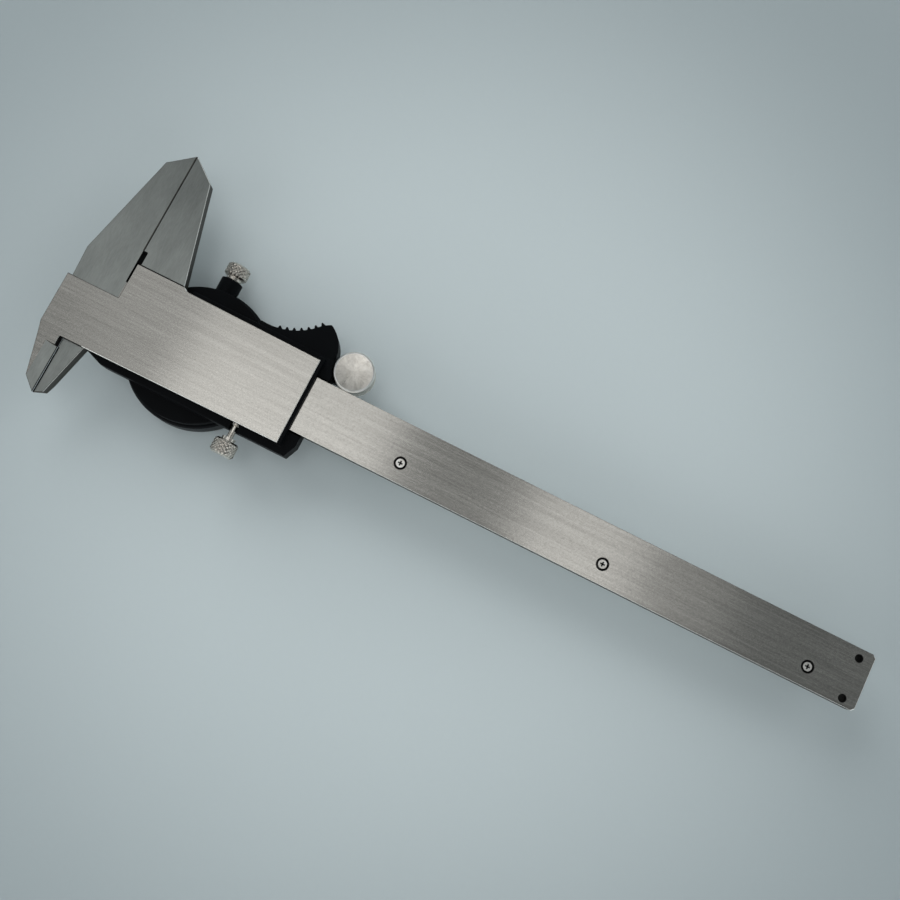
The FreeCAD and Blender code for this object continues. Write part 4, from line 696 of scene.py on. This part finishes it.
def screw_row_tree() -> NodeTree:
    """Tree for a row of countersunk heads with cross recesses, their tops at height zero."""
    tree, given = new_tree("screw_row", {
        "Count": Shape.COUNT, "Pitch": Shape.LENGTH, "Head": Shape.LENGTH, "Shank": Shape.LENGTH,
        "Height": Shape.LENGTH, "Recess_Length": Shape.LENGTH, "Recess_Width": Shape.LENGTH,
        "Recess_Depth": Shape.LENGTH, "Recess_Finish": Shape.FINISH, "Finish": Shape.FINISH})
    cone = add(tree, "GeometryNodeMeshCone", None, Vertices=40, Radius_Top=given["Head"],
               Radius_Bottom=given["Shank"], Depth=given["Height"])
    sunk = add(tree, MATH, "MULTIPLY", given["Height"], -1.0)
    low = add(tree, COMBINE, None, Z=sunk)
    head = add(tree, "GeometryNodeTransform", None, Geometry=cone, Translation=low)
    bars = []
    deep = add(tree, MATH, "MULTIPLY", given["Recess_Depth"], 2.0)
    for x, y in ((given["Recess_Length"], given["Recess_Width"]), (given["Recess_Width"], given["Recess_Length"])):
        size = add(tree, COMBINE, None, X=x, Y=y, Z=deep)
        bar = add(tree, "GeometryNodeMeshCube", None, Size=size)
        inked = add(tree, "GeometryNodeSetMaterial", None, Geometry=bar, Material=given["Recess_Finish"])
        bars.append(inked.outputs[0])
    cut = add(tree, "GeometryNodeMeshBoolean", "DIFFERENCE", head)
    for bar in bars:
        tree.links.new(bar, cut.inputs[1])
    pitch = add(tree, COMBINE, None, X=given["Pitch"])
    points = add(tree, "GeometryNodeMeshLine", None, Count=given["Count"], Offset=pitch)
    row = add(tree, "GeometryNodeInstanceOnPoints", None, Points=points, Instance=cut)
    real = add(tree, "GeometryNodeRealizeInstances", None, Geometry=row)
    recessed = add(tree, "GeometryNodeMaterialSelection", None, Material=given["Recess_Finish"])
    bare = add(tree, "FunctionNodeBooleanMath", "NOT", recessed)
    dressed = add(tree, "GeometryNodeSetMaterial", None, Geometry=real, Selection=bare, Material=given["Finish"])
    add(tree, "NodeGroupOutput", None, Geometry=dressed)
    return tree


def lettering(text: str, height: float, material: Material, place: Matrix,
              thickness: float = 0.03) -> Mesh:
    """Mesh of a printed or engraved number.

    Args:
        text: The characters.
        height: Their height in millimetres.
        material: The ink.
        place: Where the number's middle goes.
        thickness: How far the print stands out, in millimetres.

    Returns:
        The mesh, in place.
    """
    curve = bpy.data.curves.new("number", "FONT")
    curve.body = text
    curve.size = height * MM / CAPITAL_HEIGHT
    curve.align_x = "CENTER"
    curve.align_y = "CENTER"
    curve.extrude = thickness * MM / 2
    curve.resolution_u = 3
    holder = bpy.data.objects.new("number", curve)
    bpy.context.scene.collection.objects.link(holder)
    mesh = evaluated(holder)
    mesh.transform(place)
    mesh.materials.clear()
    mesh.materials.append(material)
    return mesh


def joined(meshes: list[Mesh], material: Material) -> Mesh:
    """One mesh of several that share a material."""
    shape = bmesh.new()
    for mesh in meshes:
        shape.from_mesh(mesh)
    bmesh.ops.remove_doubles(shape, verts=shape.verts, dist=1e-7)
    bmesh.ops.recalc_face_normals(shape, faces=shape.faces)
    whole = bpy.data.meshes.new("joined")
    shape.to_mesh(whole)
    shape.free()
    whole.materials.append(material)
    return whole


def bar_along_y(outline: list[tuple[float, float]], start: float, end: float,
                material: Material) -> Mesh:
    """Small straight solid along Y.

    Args:
        outline: X and Z of its corners in metres, in order.
        start: Y of one end.
        end: Y of the other.
        material: Its finish.

    Returns:
        The mesh, in place.
    """
    shape = bmesh.new()
    rows = [[shape.verts.new((x, y, z)) for x, z in outline] for y in (start, end)]
    for row in rows:
        shape.faces.new(row)
    for index in range(len(outline)):
        after = (index + 1) % len(outline)
        shape.faces.new((rows[0][index], rows[0][after], rows[1][after], rows[1][index]))
    bmesh.ops.recalc_face_normals(shape, faces=shape.faces)
    mesh = bpy.data.meshes.new("bar")
    shape.to_mesh(mesh)
    shape.free()
    mesh.materials.append(material)
    return mesh


def middle(node: str) -> Vector:
    """Middle of a solid's box at rest."""
    low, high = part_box(node)
    return (low + high) / 2


def beam_axis() -> float:
    """Y of the beam's middle."""
    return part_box("rack_screws")[0].y + SCREW_ROW_TO_AXIS * MM


@dataclass
class Beam:
    """Beam with its fixed jaws, rack screws, end stop and engraved scale. Lengths in millimetres."""

    finishes: Finishes
    edge: float = 0.16
    half_width: float = 8.0
    jaw_face: float = 0.3
    closing_reach: float = 14.5
    slit_width: float = 0.3
    slit_top: float = 17.8
    inner_reach: float = 7.3
    hone: float = 0.36
    relief_foot: float = 5.2
    screw_count: int = 4
    screw_pitch: float = 60.0
    head_radius: float = 1.2
    head_height: float = 0.75
    shank_radius: float = 0.78
    recess_length: float = 1.35
    recess_width: float = 0.42
    recess_depth: float = 0.5
    mark_count: int = 151
    mark_length: float = 1.1
    mark_width: float = 0.14
    mark_thickness: float = 0.03
    number_height: float = 1.3
    scale_foot: float = 4.5
    number_rise: float = 2.65
    seat_margin: float = 0.2
    screw_sink: float = 0.05

    def make(self) -> None:
        """Builds and dresses everything on the beam."""
        self.make_body()
        self.make_screws()
        self.make_scale()
        paint("rack", self.finishes.use(MILLED_STEEL))
        paint("end_stop_screws", self.finishes.use(BLACKENED_STEEL))
        stop = broken_edges("end_stop", self.edge, [self.finishes.use(MILLED_STEEL)])
        piece("end_stop_plate", stop, "beam", ("end_stop",))

    def make_body(self) -> None:
        """Brushed bar with ground jaws; near-black painted shade in the screws' seats, the slit and along the inner
        blade's hone, and painted highlight and shade on its edges and walls.
        """
        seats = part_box("rack_screws")
        stop_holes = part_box("end_stop_screws")
        head_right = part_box("housing")[0].x + self.jaw_face * MM
        blade_top = beam_axis() - self.half_width * MM
        slit_foot = beam_axis() + self.half_width * MM
        slit_top = beam_axis() + self.slit_top * MM
        margin = self.seat_margin * MM
        closing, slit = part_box("slider_frame")[0].x + self.closing_reach * MM, self.slit_width * MM

        def choose(centre: Vector, normal: Vector) -> int:
            """Number of the finish on a face of the bar, its head or its jaws."""
            # Painted shade: the walls and deep floors of the screws' seats are near black
            for low, high in (seats, stop_holes):
                inside = all(low[axis] - margin < centre[axis] < high[axis] + margin for axis in (0, 1))
                if inside and (abs(normal.z) < FLAT or centre.z < seats[1].z - 0.3 * MM) and centre.x > seats[0].x:
                    return Part.PAINTED_SHADE.value
            # Painted shade: near black on the blade's walls facing -X and in the slit below its top, dark grey above
            # it and on the blade's other walls
            if centre.y < blade_top and normal.x < -0.2:
                return Part.PAINTED_SHADE.value
            if closing - slit < centre.x < closing + slit / 2 and centre.y > slit_foot:
                return Part.PAINTED_SHADE.value if centre.y < slit_top else Part.SIDE.value
            if centre.y < blade_top and normal.x < 0.5 and abs(normal.z) < FLAT:
                return Part.SIDE.value
            return rim_part(normal, Part.GROUND if centre.x < head_right else Part.BRUSHED).value

        cuts = ((Vector((head_right, 0, 0)), Vector((1, 0, 0))), (Vector((closing - slit, 0, 0)), Vector((1, 0, 0))),
                (Vector((0, slit_top, 0)), Vector((0, 1, 0))))
        materials = [self.finishes.use(kind) for kind in PART_FINISHES.values()]
        mesh = broken_edges("beam", self.edge, materials, choose, cuts, angle=40.0)
        piece("beam_bar", mesh, "beam", ("beam",))
        low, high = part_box("beam")
        edge = closing - self.inner_reach * MM
        back = high.z - 0.02 * MM
        # A near-black wedge along the inner blade's knife edge: a line of painted shade
        hone = bar_along_y([(edge, back), (edge + self.hone * 1.1 * MM, back), (edge, back - self.hone * 1.1 * MM)],
                           low.y + 0.1 * MM, blade_top - self.relief_foot * MM, self.finishes.use(PAINTED_SHADE_RECESS))
        piece("blade_hone_shade", hone, "beam")

    def make_screws(self) -> None:
        """Row of countersunk screws in the beam's back."""
        low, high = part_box("rack_screws")
        # The cross recesses get the near-black painted shade
        mesh = evaluated(grow(screw_row_tree(), {
            "Count": self.screw_count, "Pitch": self.screw_pitch * MM, "Head": self.head_radius * MM,
            "Shank": self.shank_radius * MM, "Height": self.head_height * MM,
            "Recess_Length": self.recess_length * MM, "Recess_Width": self.recess_width * MM,
            "Recess_Depth": self.recess_depth * MM, "Recess_Finish": self.finishes.use(PAINTED_SHADE_RECESS),
            "Finish": self.finishes.use(SCREW_STEEL)}))
        radius = (high.y - low.y) / 2
        mesh.transform(Matrix.Translation((low.x + radius, (low.y + high.y) / 2, high.z - self.screw_sink * MM)))
        piece("rack_screw_heads", mesh, "beam", ("rack_screws",))

    def make_scale(self) -> None:
        """Millimetre marks and numbers on the beam's front, read at the housing's left edge."""
        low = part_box("beam")[0]
        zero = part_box("housing")[0].x
        foot = beam_axis() + self.scale_foot * MM
        ink = self.finishes.use(SCALE_FILL)
        marks = evaluated(grow(straight_marks_tree(), {
            "Count": self.mark_count, "Pitch": 1.0 * MM, "Length": self.mark_length * MM,
            "Width": self.mark_width * MM, "Thickness": self.mark_thickness * MM, "Finish": ink}))
        marks.transform(Matrix.Translation((zero, foot, low.z)))
        flip = Matrix.Rotation(math.pi, 4, "X")
        numbers = []
        for value in range(0, self.mark_count, 10):
            spot = Vector((zero + value * MM, foot + self.number_rise * MM, low.z))
            numbers.append(lettering(str(value), self.number_height, ink, Matrix.Translation(spot) @ flip))
        piece("beam_scale", joined([marks, *numbers], ink), "beam")


@dataclass
class Slider:
    """Slider's back plate with the sliding jaws, and the small pieces that it carries."""

    finishes: Finishes
    edge: float = 0.16
    plate_top: float = 13.7
    slit_reach: float = 15.45
    blade_foot: float = 13.2
    root_reach: float = 2.15
    blade_face: float = 6.1
    relief: float = 0.5
    relief_length: float = 2.75
    corner: float = 0.45

    def make(self) -> None:
        """Builds and dresses the slider's steel pieces."""
        axis = beam_axis()
        step = axis + self.plate_top * MM
        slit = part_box("slider_frame")[0].x + self.slit_reach * MM
        blade_foot = axis - self.blade_foot * MM
        root = slit - self.root_reach * MM
        reach = self.corner * MM

        def choose(centre: Vector, normal: Vector) -> int:
            """Number of the finish on a face of the plate, its blade or its jaw."""
            sloped = abs(normal.z) < FLAT
            on_blade = centre.y < blade_foot
            blade_edge = on_blade and sloped and normal.x > 0.5
            root_line = sloped and normal.y < -0.2 and centre.x < root and abs(centre.y - blade_foot) < reach * 2
            slit_wall = sloped and normal.x < -0.2 and abs(centre.x - slit) < reach and centre.y > axis
            step_wall = sloped and normal.y > 0.2 and abs(centre.y - step) < reach
            corner = not sloped and step < centre.y < step + reach
            jaw_face = sloped and centre.y > step and centre.x < slit + reach * 2
            # Painted shade: near black on the blade's edge, its root line, the slit's wall, the step's wall, a strip
            # of the flat face along the step and the jaw's walls
            if blade_edge or root_line or slit_wall or step_wall or corner or jaw_face:
                return Part.PAINTED_SHADE.value
            if on_blade and sloped and normal.x > 0.2 and normal.z > 0.9:
                return Part.GROUND.value
            # Painted shade: dark grey on the blade's other walls
            if on_blade and sloped and normal.x < 0.5:
                return Part.SIDE.value
            return rim_part(normal, Part.GROUND if centre.y > step else Part.BRUSHED).value

        cuts = ((Vector((0, step + reach, 0)), Vector((0, 1, 0))), (Vector((root, 0, 0)), Vector((1, 0, 0))))
        materials = [self.finishes.use(kind) for kind in PART_FINISHES.values()]
        mesh = broken_edges("slider_frame", self.edge, materials, choose, cuts)
        piece("slider_plate", mesh, "slider", ("slider_frame",))
        corner, front = root - self.blade_face * MM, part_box("housing")[1].z
        # A near-black plate inside the blade's relief, so that the relief looks dark: painted shade
        floor = bar_along_y([(corner, front + 0.05 * MM), (corner - self.relief * MM, front + 0.05 * MM),
                             (corner - self.relief * MM, front + 0.5 * MM), (corner, front + 0.5 * MM)],
                            blade_foot, blade_foot - self.relief_length * MM, self.finishes.use(PAINTED_SHADE_RECESS))
        piece("relief_shade", floor, "slider")
        rod = broken_edges("depth_rod", 0.08, [self.finishes.use(MILLED_STEEL)])
        piece("depth_blade", rod, "slider", ("depth_rod",))
        for node, surface in (("gib", BRASS), ("gib_screws", BLACKENED_STEEL), ("lock_pad", BRASS)):
            paint(node, self.finishes.use(surface))
        wiper = broken_edges("end_wiper", 0.1, [self.finishes.use(BLACK_ABS)])
        piece("wiper_strip", wiper, "slider", ("end_wiper",))


@dataclass
class Housing:
    """Black housing on the slider's front."""

    finishes: Finishes
    edge: float = 0.22

    def make(self) -> None:
        """Builds the housing with softened edges and dresses its screws."""
        mesh = broken_edges("housing", self.edge, [self.finishes.use(BLACK_ABS)], angle=35.0)
        piece("housing_shell", mesh, "slider", ("housing",))
        paint("housing_screws", self.finishes.use(SCREW_STEEL))


@dataclass
class Knob:
    """Knurled screw head on a neck and shank, with a driver slot. Lengths in millimetres."""

    finishes: Finishes
    tree: NodeTree
    node: str
    body: str
    points_up: bool
    head_length: float
    neck_length: float
    neck_radius: float = 2.2
    shank_radius: float = 1.46
    knurl_depth: float = 0.24
    teeth: int = 20
    slot_width: float = 0.8
    slot_depth: float = 1.0
    waist_radius: float = 1.46
    waist_length: float = 0.0

    def make(self) -> None:
        """Builds the screw as one turned and knurled solid."""
        low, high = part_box(self.node)
        centre = (low + high) / 2
        head = (high.x - low.x) / 2 / MM
        length = (high.y - low.y) / MM
        start = length - self.head_length
        rim = rows_between(start + 0.75, length - 0.85, head, 14)
        foot = start - self.neck_length
        profile = [(0, 0), (self.shank_radius - 0.2, 0), (self.shank_radius, 0.2),
                   (self.shank_radius, foot - self.waist_length - 0.3), (self.waist_radius, foot - self.waist_length),
                   (self.waist_radius, foot), (self.neck_radius, foot),
                   (self.neck_radius, start), (head - 0.6, start), (head - 0.12, start + 0.5), *rim,
                   (head - 0.12, length - 0.6), (head - 0.7, length - 0.05), (head - 0.8, length), (0, length)]
        surface = KnurledSurface(
            self.node + "_nickel", "#FFFBF2", "#A6A097", grain=(1.0, 1.0, 1.0), patches=(4.0, 4.0, 4.0),
            metallic=1.0, roughness=0.26, relief=0.003, patch_share=0.8, axis_x=centre.x, axis_z=centre.z,
            crest=head, depth=self.knurl_depth)
        holder = grow(self.tree, {
            "Depth": self.knurl_depth * MM, "Teeth": self.teeth, "Slant": self.teeth / (FULL_TURN * head * MM),
            "Start": (start + 0.7) * MM, "End": (length - 0.8) * MM, "Rim": (head - 0.05) * MM,
            "Finish": self.finishes.use(surface)}, lathe(profile, self.teeth * 6))
        cutter = self.slot_cutter(head, length)
        slot = holder.modifiers.new("slot", "BOOLEAN")
        slot.object = cutter
        slot.operation = "DIFFERENCE"
        mesh = evaluated(holder)
        bpy.data.objects.remove(cutter)
        turn = Matrix.Rotation(math.radians(-90 if self.points_up else 90), 4, "X")
        end = low.y if self.points_up else high.y
        mesh.transform(Matrix.Translation((centre.x, end, centre.z)) @ turn)
        piece(self.node + "_knob", smooth(mesh, 40.0), self.body, (self.node,))

    def slot_cutter(self, head: float, length: float) -> Object:
        """Bar that cuts the driver slot across the head's end."""
        shape = bmesh.new()
        bmesh.ops.create_cube(shape, size=1.0)
        bmesh.ops.scale(shape, vec=(head * 3 * MM, self.slot_width * MM, self.slot_depth * 2 * MM), verts=shape.verts)
        bmesh.ops.translate(shape, vec=(0, 0, length * MM), verts=shape.verts)
        mesh = bpy.data.meshes.new("slot_cutter")
        shape.to_mesh(mesh)
        shape.free()
        return link("slot_cutter", mesh)


@dataclass
class ThumbRoller:
    """Steel roller with a turned face and a straight knurl on its rim."""

    finishes: Finishes
    tree: NodeTree
    knurl_depth: float = 0.18
    teeth: int = 70
    axle_radius: float = 1.5
    thickness: float = 6.4
    rim_chamfer: float = 0.5

    def make(self) -> None:
        """Builds the roller with its axle and dresses its washer and screw."""
        low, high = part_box("thumb_roller")
        centre = (low + high) / 2
        radius = (high.x - low.x) / 2 / MM
        length = (high.z - low.z) / MM
        start = length - self.thickness
        chamfer = self.rim_chamfer
        rim = rows_between(start + chamfer + 0.2, length - chamfer - 0.2, radius, 2)
        profile = [(0, 0.4), (0.8, 0.4), (0.8, 0), (self.axle_radius, 0), (self.axle_radius, start),
                   (radius - chamfer, start), (radius, start + chamfer), *rim, (radius, length - chamfer),
                   (radius - chamfer * 0.5, length - chamfer * 0.2), (radius - chamfer, length),
                   (radius - chamfer - 0.15, length - 0.05), (0, length - 0.05)]
        surface = TurnedSurface(
            "stainless_turned", "#FBF7EF", "#C8C3BA", grain=(3.0, 3.0, 3.0), patches=(1.2, 1.2, 1.2),
            metallic=1.0, roughness=0.35, relief=0.002, patch_share=0.6, anisotropy=0.6,
            centre=(centre.x, centre.y, 0))
        holder = grow(self.tree, {
            "Depth": self.knurl_depth * MM, "Teeth": self.teeth, "Slant": 0.0,
            "Start": (start + chamfer + 0.1) * MM, "End": (length - chamfer - 0.1) * MM,
            "Rim": (radius - 0.05) * MM, "Finish": self.finishes.use(surface)}, lathe(profile, self.teeth * 4))
        mesh = evaluated(holder)
        # Painted highlight: the rim's top chamfer gets the near-white edge finish all round
        mesh.materials.append(self.finishes.use(PAINTED_HIGHLIGHT_EDGE))
        for face in mesh.polygons:
            if face.normal.z > 0.2 and face.center.xy.length > (radius - chamfer * 1.4) * MM:
                face.material_index = 1
        mesh.transform(Matrix.Translation((centre.x, centre.y, low.z)))
        piece("roller_turned", smooth(mesh, 25.0), "thumb_roller", ("thumb_roller",))
        paint("roller_washer", self.finishes.use(SCREW_STEEL))
        paint("roller_screw", self.finishes.use(BLACKENED_STEEL))


@dataclass
class Dial:
    """Bezel, crystal, printed dial, pointer and the bezel's clamp shoe. Lengths in millimetres."""

    finishes: Finishes
    divisions: int = 100
    mark_radius: float = 16.3
    mark_length: float = 1.5
    mark_width: float = 0.2
    print_thickness: float = 0.03
    number_radius: float = 11.9
    number_height: float = 2.3
    shoe_wear: float = 0.06
    shoe_edge: float = 0.4

    def make(self) -> None:
        """Builds and dresses the pieces in front of the movement."""
        self.make_bezel()
        self.make_print()
        for node, surface in (("crystal", ACRYLIC), ("dial_spacer", BLACK_NYLON), ("dial_face", DIAL_ENAMEL),
                              ("pointer", BLACK_INK), ("bezel_ring", BLUED_STEEL)):
            paint(node, self.finishes.use(surface))
        self.make_shoe()

    def make_shoe(self) -> None:
        """Soft shoe of the bezel's clamp, with its face rounded to the rim that it presses."""
        low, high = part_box("bezel_clamp_shoe")
        centre = (low + high) / 2
        radius, length = (high.x - low.x) / 2 / MM, (high.y - low.y) / MM
        mesh = lathe([(0, self.shoe_wear), (radius - self.shoe_edge, self.shoe_wear),
                      (radius, self.shoe_wear + self.shoe_edge), (radius, length), (0, length)], 40)
        mesh.transform(Matrix.Translation((centre.x, low.y, centre.z)) @ Matrix.Rotation(math.radians(-90), 4, "X"))
        mesh.materials.append(self.finishes.use(BLACK_NYLON))
        piece("clamp_shoe_worn", smooth(mesh), "bezel_clamp_shoe", ("bezel_clamp_shoe",))

    def make_bezel(self) -> None:
        """Bezel with softened edges."""
        mesh = broken_edges("bezel", 0.15, [self.finishes.use(BLACK_ANODISED)])
        piece("bezel_rim", mesh, "bezel", ("bezel",))

    def make_print(self) -> None:
        """Marks and numbers on the dial, right way round when the dial is looked at."""
        centre = middle("dial_face")
        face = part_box("dial_face")[0].z
        ink = self.finishes.use(BLACK_INK)
        marks = evaluated(grow(round_marks_tree(), {
            "Count": self.divisions, "Radius": self.mark_radius * MM, "Length": self.mark_length * MM,
            "Width": self.mark_width * MM, "Thickness": self.print_thickness * MM, "Finish": ink}))
        marks.transform(Matrix.Translation((centre.x, centre.y, face)))
        meshes = [marks]
        flip = Matrix.Rotation(math.pi, 4, "X")
        for value in range(0, self.divisions, 10):
            turn = FULL_TURN * value / self.divisions
            spot = Vector((math.sin(turn), -math.cos(turn), 0)) * self.number_radius * MM
            place = Matrix.Translation((centre.x + spot.x, centre.y + spot.y, face))
            meshes.append(lettering(str(value), self.number_height, ink, place @ flip))
        piece("dial_print", joined(meshes, ink), "bezel")


@dataclass
class Movement:
    """Wheels and plates inside the case."""

    finishes: Finishes

    def make(self) -> None:
        """Dresses the movement's solids."""
        for node in ("movement_plate", "bridge", "rack_wheel", "centre_pinion", "backlash_wheel"):
            paint(node, self.finishes.use(BRASS))
        paint("bridge_screws", self.finishes.use(SCREW_STEEL))
        paint("hairspring", self.finishes.use(BLUED_STEEL))


@dataclass
class Studio:
    """Pale floor, soft lamps and the camera. Lengths in millimetres."""

    floor_size: float = 9000.0
    floor_light: str = "#CAD5D7"
    floor_dark: str = "#A1ACAF"
    camera_spot: tuple[float, float, float] = (2.4, -40.7, 279.2)
    camera_aim: tuple[float, float, float] = (-6.0, -2.6, 12.0)
    camera_roll: float = 26.75
    focal_length: float = 40.0
    world_colour: str = "#E4ECEF"
    world_strength: float = 0.2
    horizon_strength: float = 1.15
    world_fall: float = 0.65
    seen_strength: float = 0.5

    def make(self) -> None:
        """Builds the floor, lamps, world and camera."""
        self.make_camera()
        self.make_floor()
        self.make_world()
        self.make_lamp("window", (-1900, 1650, 1450), (0, 0, 0), (2300, 1800), 38.0, False)
        self.make_lamp("window_pane", (-1900, 1650, 1450), (0, 0, 0), (2300, 1800), 8.0)
        self.make_lamp("second_window", (2100, 1700, 1400), (0, 0, 0), (2300, 1800), 18.0, False)
        self.make_lamp("room_left", (-1700, -1500, 1400), (0, 0, 0), (2000, 1400), 8.0)
        self.make_lamp("room_right", (2100, -1700, 1400), (0, 0, 0), (2000, 1400), 9.0)
        self.make_lamp("low_window", (150, -1900, 900), (0, 0, 0), (2200, 900), 5.0)
        self.make_lamp("ceiling_over_jaws", (-650, 240, 900), (-650, 240, 0), (500, 260), 0.25)
        for name, x, width, power in (("left", -425, 120, 0.05), ("over_plate", -235, 290, 0.66),
                                      ("between", 0, 150, 0.06), ("over_beam", 137, 171, 0.35),
                                      ("past_beam", 278, 112, 0.065)):
            self.make_lamp("ceiling_" + name, (x, -100, 900), (x, -100, 0), (width, 540), power)

    def make_camera(self) -> None:
        """Camera at the photograph's viewing angle."""
        spot, aim = Vector(self.camera_spot) * MM, Vector(self.camera_aim) * MM
        forward = (aim - spot).normalized()
        side = forward.cross(Vector((0, 1, 0))).normalized()
        up = side.cross(forward)
        level = Matrix((side, up, -forward)).transposed().to_4x4()
        data = bpy.data.cameras.new("camera")
        data.lens = self.focal_length
        data.sensor_width = 36.0
        data.clip_start = 0.01
        made = bpy.data.objects.new("camera", data)
        bpy.context.scene.collection.objects.link(made)
        roll = Matrix.Rotation(math.radians(self.camera_roll), 4, "Z")
        made.matrix_world = Matrix.Translation(spot) @ level @ roll
        bpy.context.scene.camera = made

    def make_floor(self) -> None:
        """Flat sheet under the dial."""
        half = self.floor_size * MM / 2
        mesh = bpy.data.meshes.new("floor")
        mesh.from_pydata([(-half, -half, 0), (half, -half, 0), (half, half, 0), (-half, half, 0)], [], [(0, 1, 2, 3)])
        # Painted steel sheet, satin, with a painted pool of light around a centre near the caliper
        surface = SheetSurface("painted_sheet", self.floor_light, self.floor_dark, grain=(1.5, 1.5, 1.5),
                               patches=(70.0, 70.0, 70.0), roughness=0.6, relief=0.004, ior=1.3,
                               centre=(-0.011, -0.003, 0.0), far_radius=0.19)
        mesh.materials.append(surface.make())
        floor = link("floor", mesh)

    def make_world(self) -> None:
        """Cool light from all round, strongest near the horizon; the camera sees an even pale room."""
        world = bpy.data.worlds.new("studio")
        bpy.context.scene.world = world
        world.use_nodes = True
        tree = world.node_tree
        tree.nodes.clear()
        direction = add(tree, "ShaderNodeTexCoord").outputs["Generated"]
        height = add(tree, "ShaderNodeSeparateXYZ", None, Vector=direction).outputs[2]
        fall = add(tree, MAP_RANGE, {"interpolation_type": "SMOOTHSTEP"}, Value=height, From_Min=0.0,
                   From_Max=self.world_fall, To_Min=self.horizon_strength, To_Max=self.world_strength)
        seen = add(tree, "ShaderNodeLightPath").outputs["Is Camera Ray"]
        strength = add(tree, "ShaderNodeMix", None, Factor=seen, A=fall, B=self.seen_strength)
        light = add(tree, "ShaderNodeBackground", None, Color=linear(self.world_colour), Strength=strength)
        add(tree, "ShaderNodeOutputWorld", None, Surface=light)

    def make_lamp(self, name: str, spot: tuple[float, float, float], aim: tuple[float, float, float],
                  size: tuple[float, float], power: float, mirrored: bool = True) -> None:
        """Adds a soft rectangular lamp.

        Args:
            name: Its name.
            spot: Where it hangs.
            aim: The point that it faces.
            size: Its width and depth.
            power: Its power in watts.
            mirrored: Whether metal mirrors it.
        """
        data = bpy.data.lights.new(name, "AREA")
        data.shape = "RECTANGLE"
        data.size, data.size_y = (side * MM for side in size)
        data.energy = power
        made = bpy.data.objects.new(name, data)
        bpy.context.scene.collection.objects.link(made)
        direction = Vector(aim) - Vector(spot)
        made.rotation_euler = direction.to_track_quat("-Z", "Y").to_euler()
        made.location = Vector(spot) * MM
        made.visible_glossy = mirrored


def main() -> None:
    """Builds the caliper piece by piece."""
    logging.basicConfig(level=logging.INFO, format="%(name)s %(message)s")
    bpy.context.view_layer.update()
    finishes = Finishes()
    knurl = knurl_tree()
    Studio().make()
    Beam(finishes).make()
    Slider(finishes).make()
    Housing(finishes).make()
    Knob(finishes, knurl, "lock_screw", "lock_screw", False, head_length=4.3, neck_length=0.9,
         neck_radius=1.9, waist_radius=0.9, waist_length=3.4).make()
    Knob(finishes, knurl, "bezel_clamp_screw", "bezel_clamp_screw", True, head_length=3.8, neck_length=0.8).make()
    ThumbRoller(finishes, knurl).make()
    Dial(finishes).make()
    Movement(finishes).make()
    bpy.context.scene.view_settings.view_transform = "Standard"


if __name__ == "__main__":
    main()
